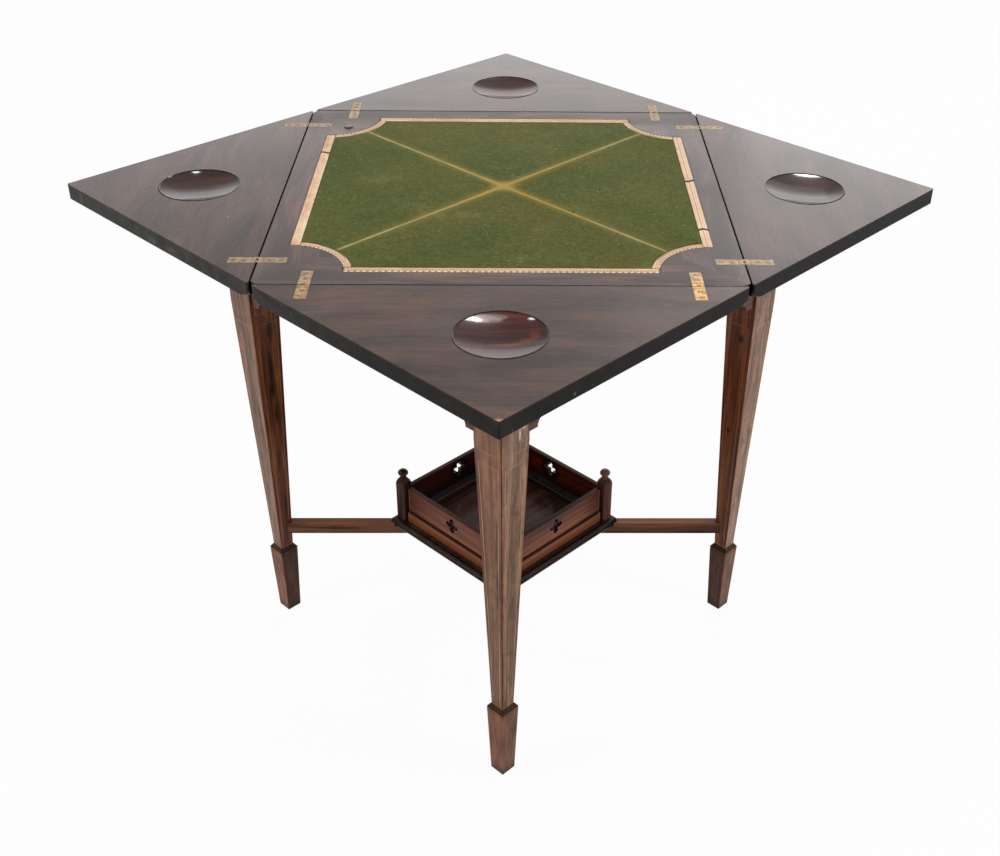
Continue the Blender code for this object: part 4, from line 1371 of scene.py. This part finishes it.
def build_floor():
    build = bmesh.new()
    build.faces.new([build.verts.new((x * FLOOR_REACH, y * FLOOR_REACH, -FLOOR_DROP))
                     for x, y in ((-1, -1), (1, -1), (1, 1), (-1, 1))])
    new_object("floor", build, pale_floor())


def build_world():
    """White to the camera. Pale low down and to the back, darker overhead and behind the
    camera."""
    world = bpy.data.worlds.new("studio")
    bpy.context.scene.world = world
    world.use_nodes = True
    graph = Nodes(world.node_tree)
    graph.tree.nodes.clear()
    place = graph.add("ShaderNodeTexCoord").outputs["Generated"]
    x, y, z = graph.add("ShaderNodeSeparateXYZ", Vector=place).outputs
    sideways = graph.times(graph.step(y, -0.85, 0.45, 0.45, 1.0),
                           graph.step(x, -0.36, 0.55, 0.96, 1.16))
    strength = graph.times(graph.step(z, 0.34, 0.44, 0.93, 0.40), sideways)
    graph.join("ShaderNodeOutputWorld", graph.add("ShaderNodeLightPath").outputs["Is Camera Ray"],
               graph.add("ShaderNodeBackground", Color=WHITE, Strength=strength),
               graph.add("ShaderNodeBackground", Color=WHITE, Strength=1.0))


def softbox(name, place, target, size, watts, shape="RECTANGLE"):
    lamp = bpy.data.lights.new(name, "AREA")
    lamp.shape = shape
    lamp.size, lamp.size_y = size
    lamp.energy = watts
    item = bpy.data.objects.new(name, lamp)
    bpy.context.scene.collection.objects.link(item)
    item.location = place
    item.rotation_euler = (Vector(target) - Vector(place)).to_track_quat("-Z", "Y").to_euler()
    item.visible_camera = False


def build_lamps():
    softbox("backdrop_light", (0.0, 3.0, 1.25), (0.0, 0.0, 0.75), (4.6, 0.9), 9.0)
    softbox("right_backdrop_light", (1.6, 3.0, 2.0), (0.3, 0.0, 0.75), (1.5, 1.3), 4.2)
    # A far window, brightest towards its right end, and a small one
    for name, place, size, watts in (("window_core", (2.3, 8.1, 10.1), (2.3, 1.0), 215.0),
                                     ("window_middle", (2.2, 8.1, 10.2), (3.2, 1.3), 60.0),
                                     ("window_glow", (1.5, 8.2, 10.8), (3.6, 1.4), 60.0),
                                     ("window_tail", (0.7, 8.3, 11.5), (2.8, 1.2), 30.0),
                                     ("small_high_light", (-2.4, 8.4, 10.2), (0.6, 0.6), 26.0)):
        softbox(name, place, (0.0, 0.0, 0.7), size, watts, "ELLIPSE")
    softbox("left_softbox", (-1.9, -0.9, 2.3), (0.0, 0.0, 0.6), (0.8, 0.8), 22.0)
    softbox("right_softbox", (2.1, -0.9, 2.2), (0.0, 0.0, 0.6), (0.8, 0.8), 22.0)


# Fitted to the corners of the top, the tips of the leaves and the legs in the photograph
CAMERA_PLACE = (0.014316, -1.634581, 1.414227)
CAMERA_YAW, CAMERA_PITCH, CAMERA_ROLL = 0.025206, 0.569854, 0.015734
CAMERA_SHIFT = (-0.04145, -0.01337)
FOCAL_PIXELS = 1306.028
IMAGE_WIDTH = 1000
SENSOR_WIDTH = 36.0


def build_camera():
    data = bpy.data.cameras.new("camera")
    camera = bpy.data.objects.new("camera", data)
    bpy.context.scene.collection.objects.link(camera)
    level = math.cos(CAMERA_PITCH)
    ahead = Vector((math.sin(CAMERA_YAW) * level, math.cos(CAMERA_YAW) * level,
                    -math.sin(CAMERA_PITCH)))
    right = Vector((math.cos(CAMERA_YAW), -math.sin(CAMERA_YAW), 0.0))
    up = right.cross(ahead)
    side = right * math.cos(CAMERA_ROLL) + up * math.sin(CAMERA_ROLL)
    rise = up * math.cos(CAMERA_ROLL) - right * math.sin(CAMERA_ROLL)
    turn = Matrix((side, rise, -ahead)).transposed()
    camera.matrix_world = Matrix.Translation(CAMERA_PLACE) @ turn.to_4x4()
    data.sensor_width = SENSOR_WIDTH
    data.lens = FOCAL_PIXELS / IMAGE_WIDTH * SENSOR_WIDTH
    data.shift_x, data.shift_y = CAMERA_SHIFT
    data.clip_start = 0.05
    bpy.context.scene.camera = camera


build_floor()
build_world()
build_lamps()
build_camera()
bpy.context.scene.view_settings.view_transform = "Standard"
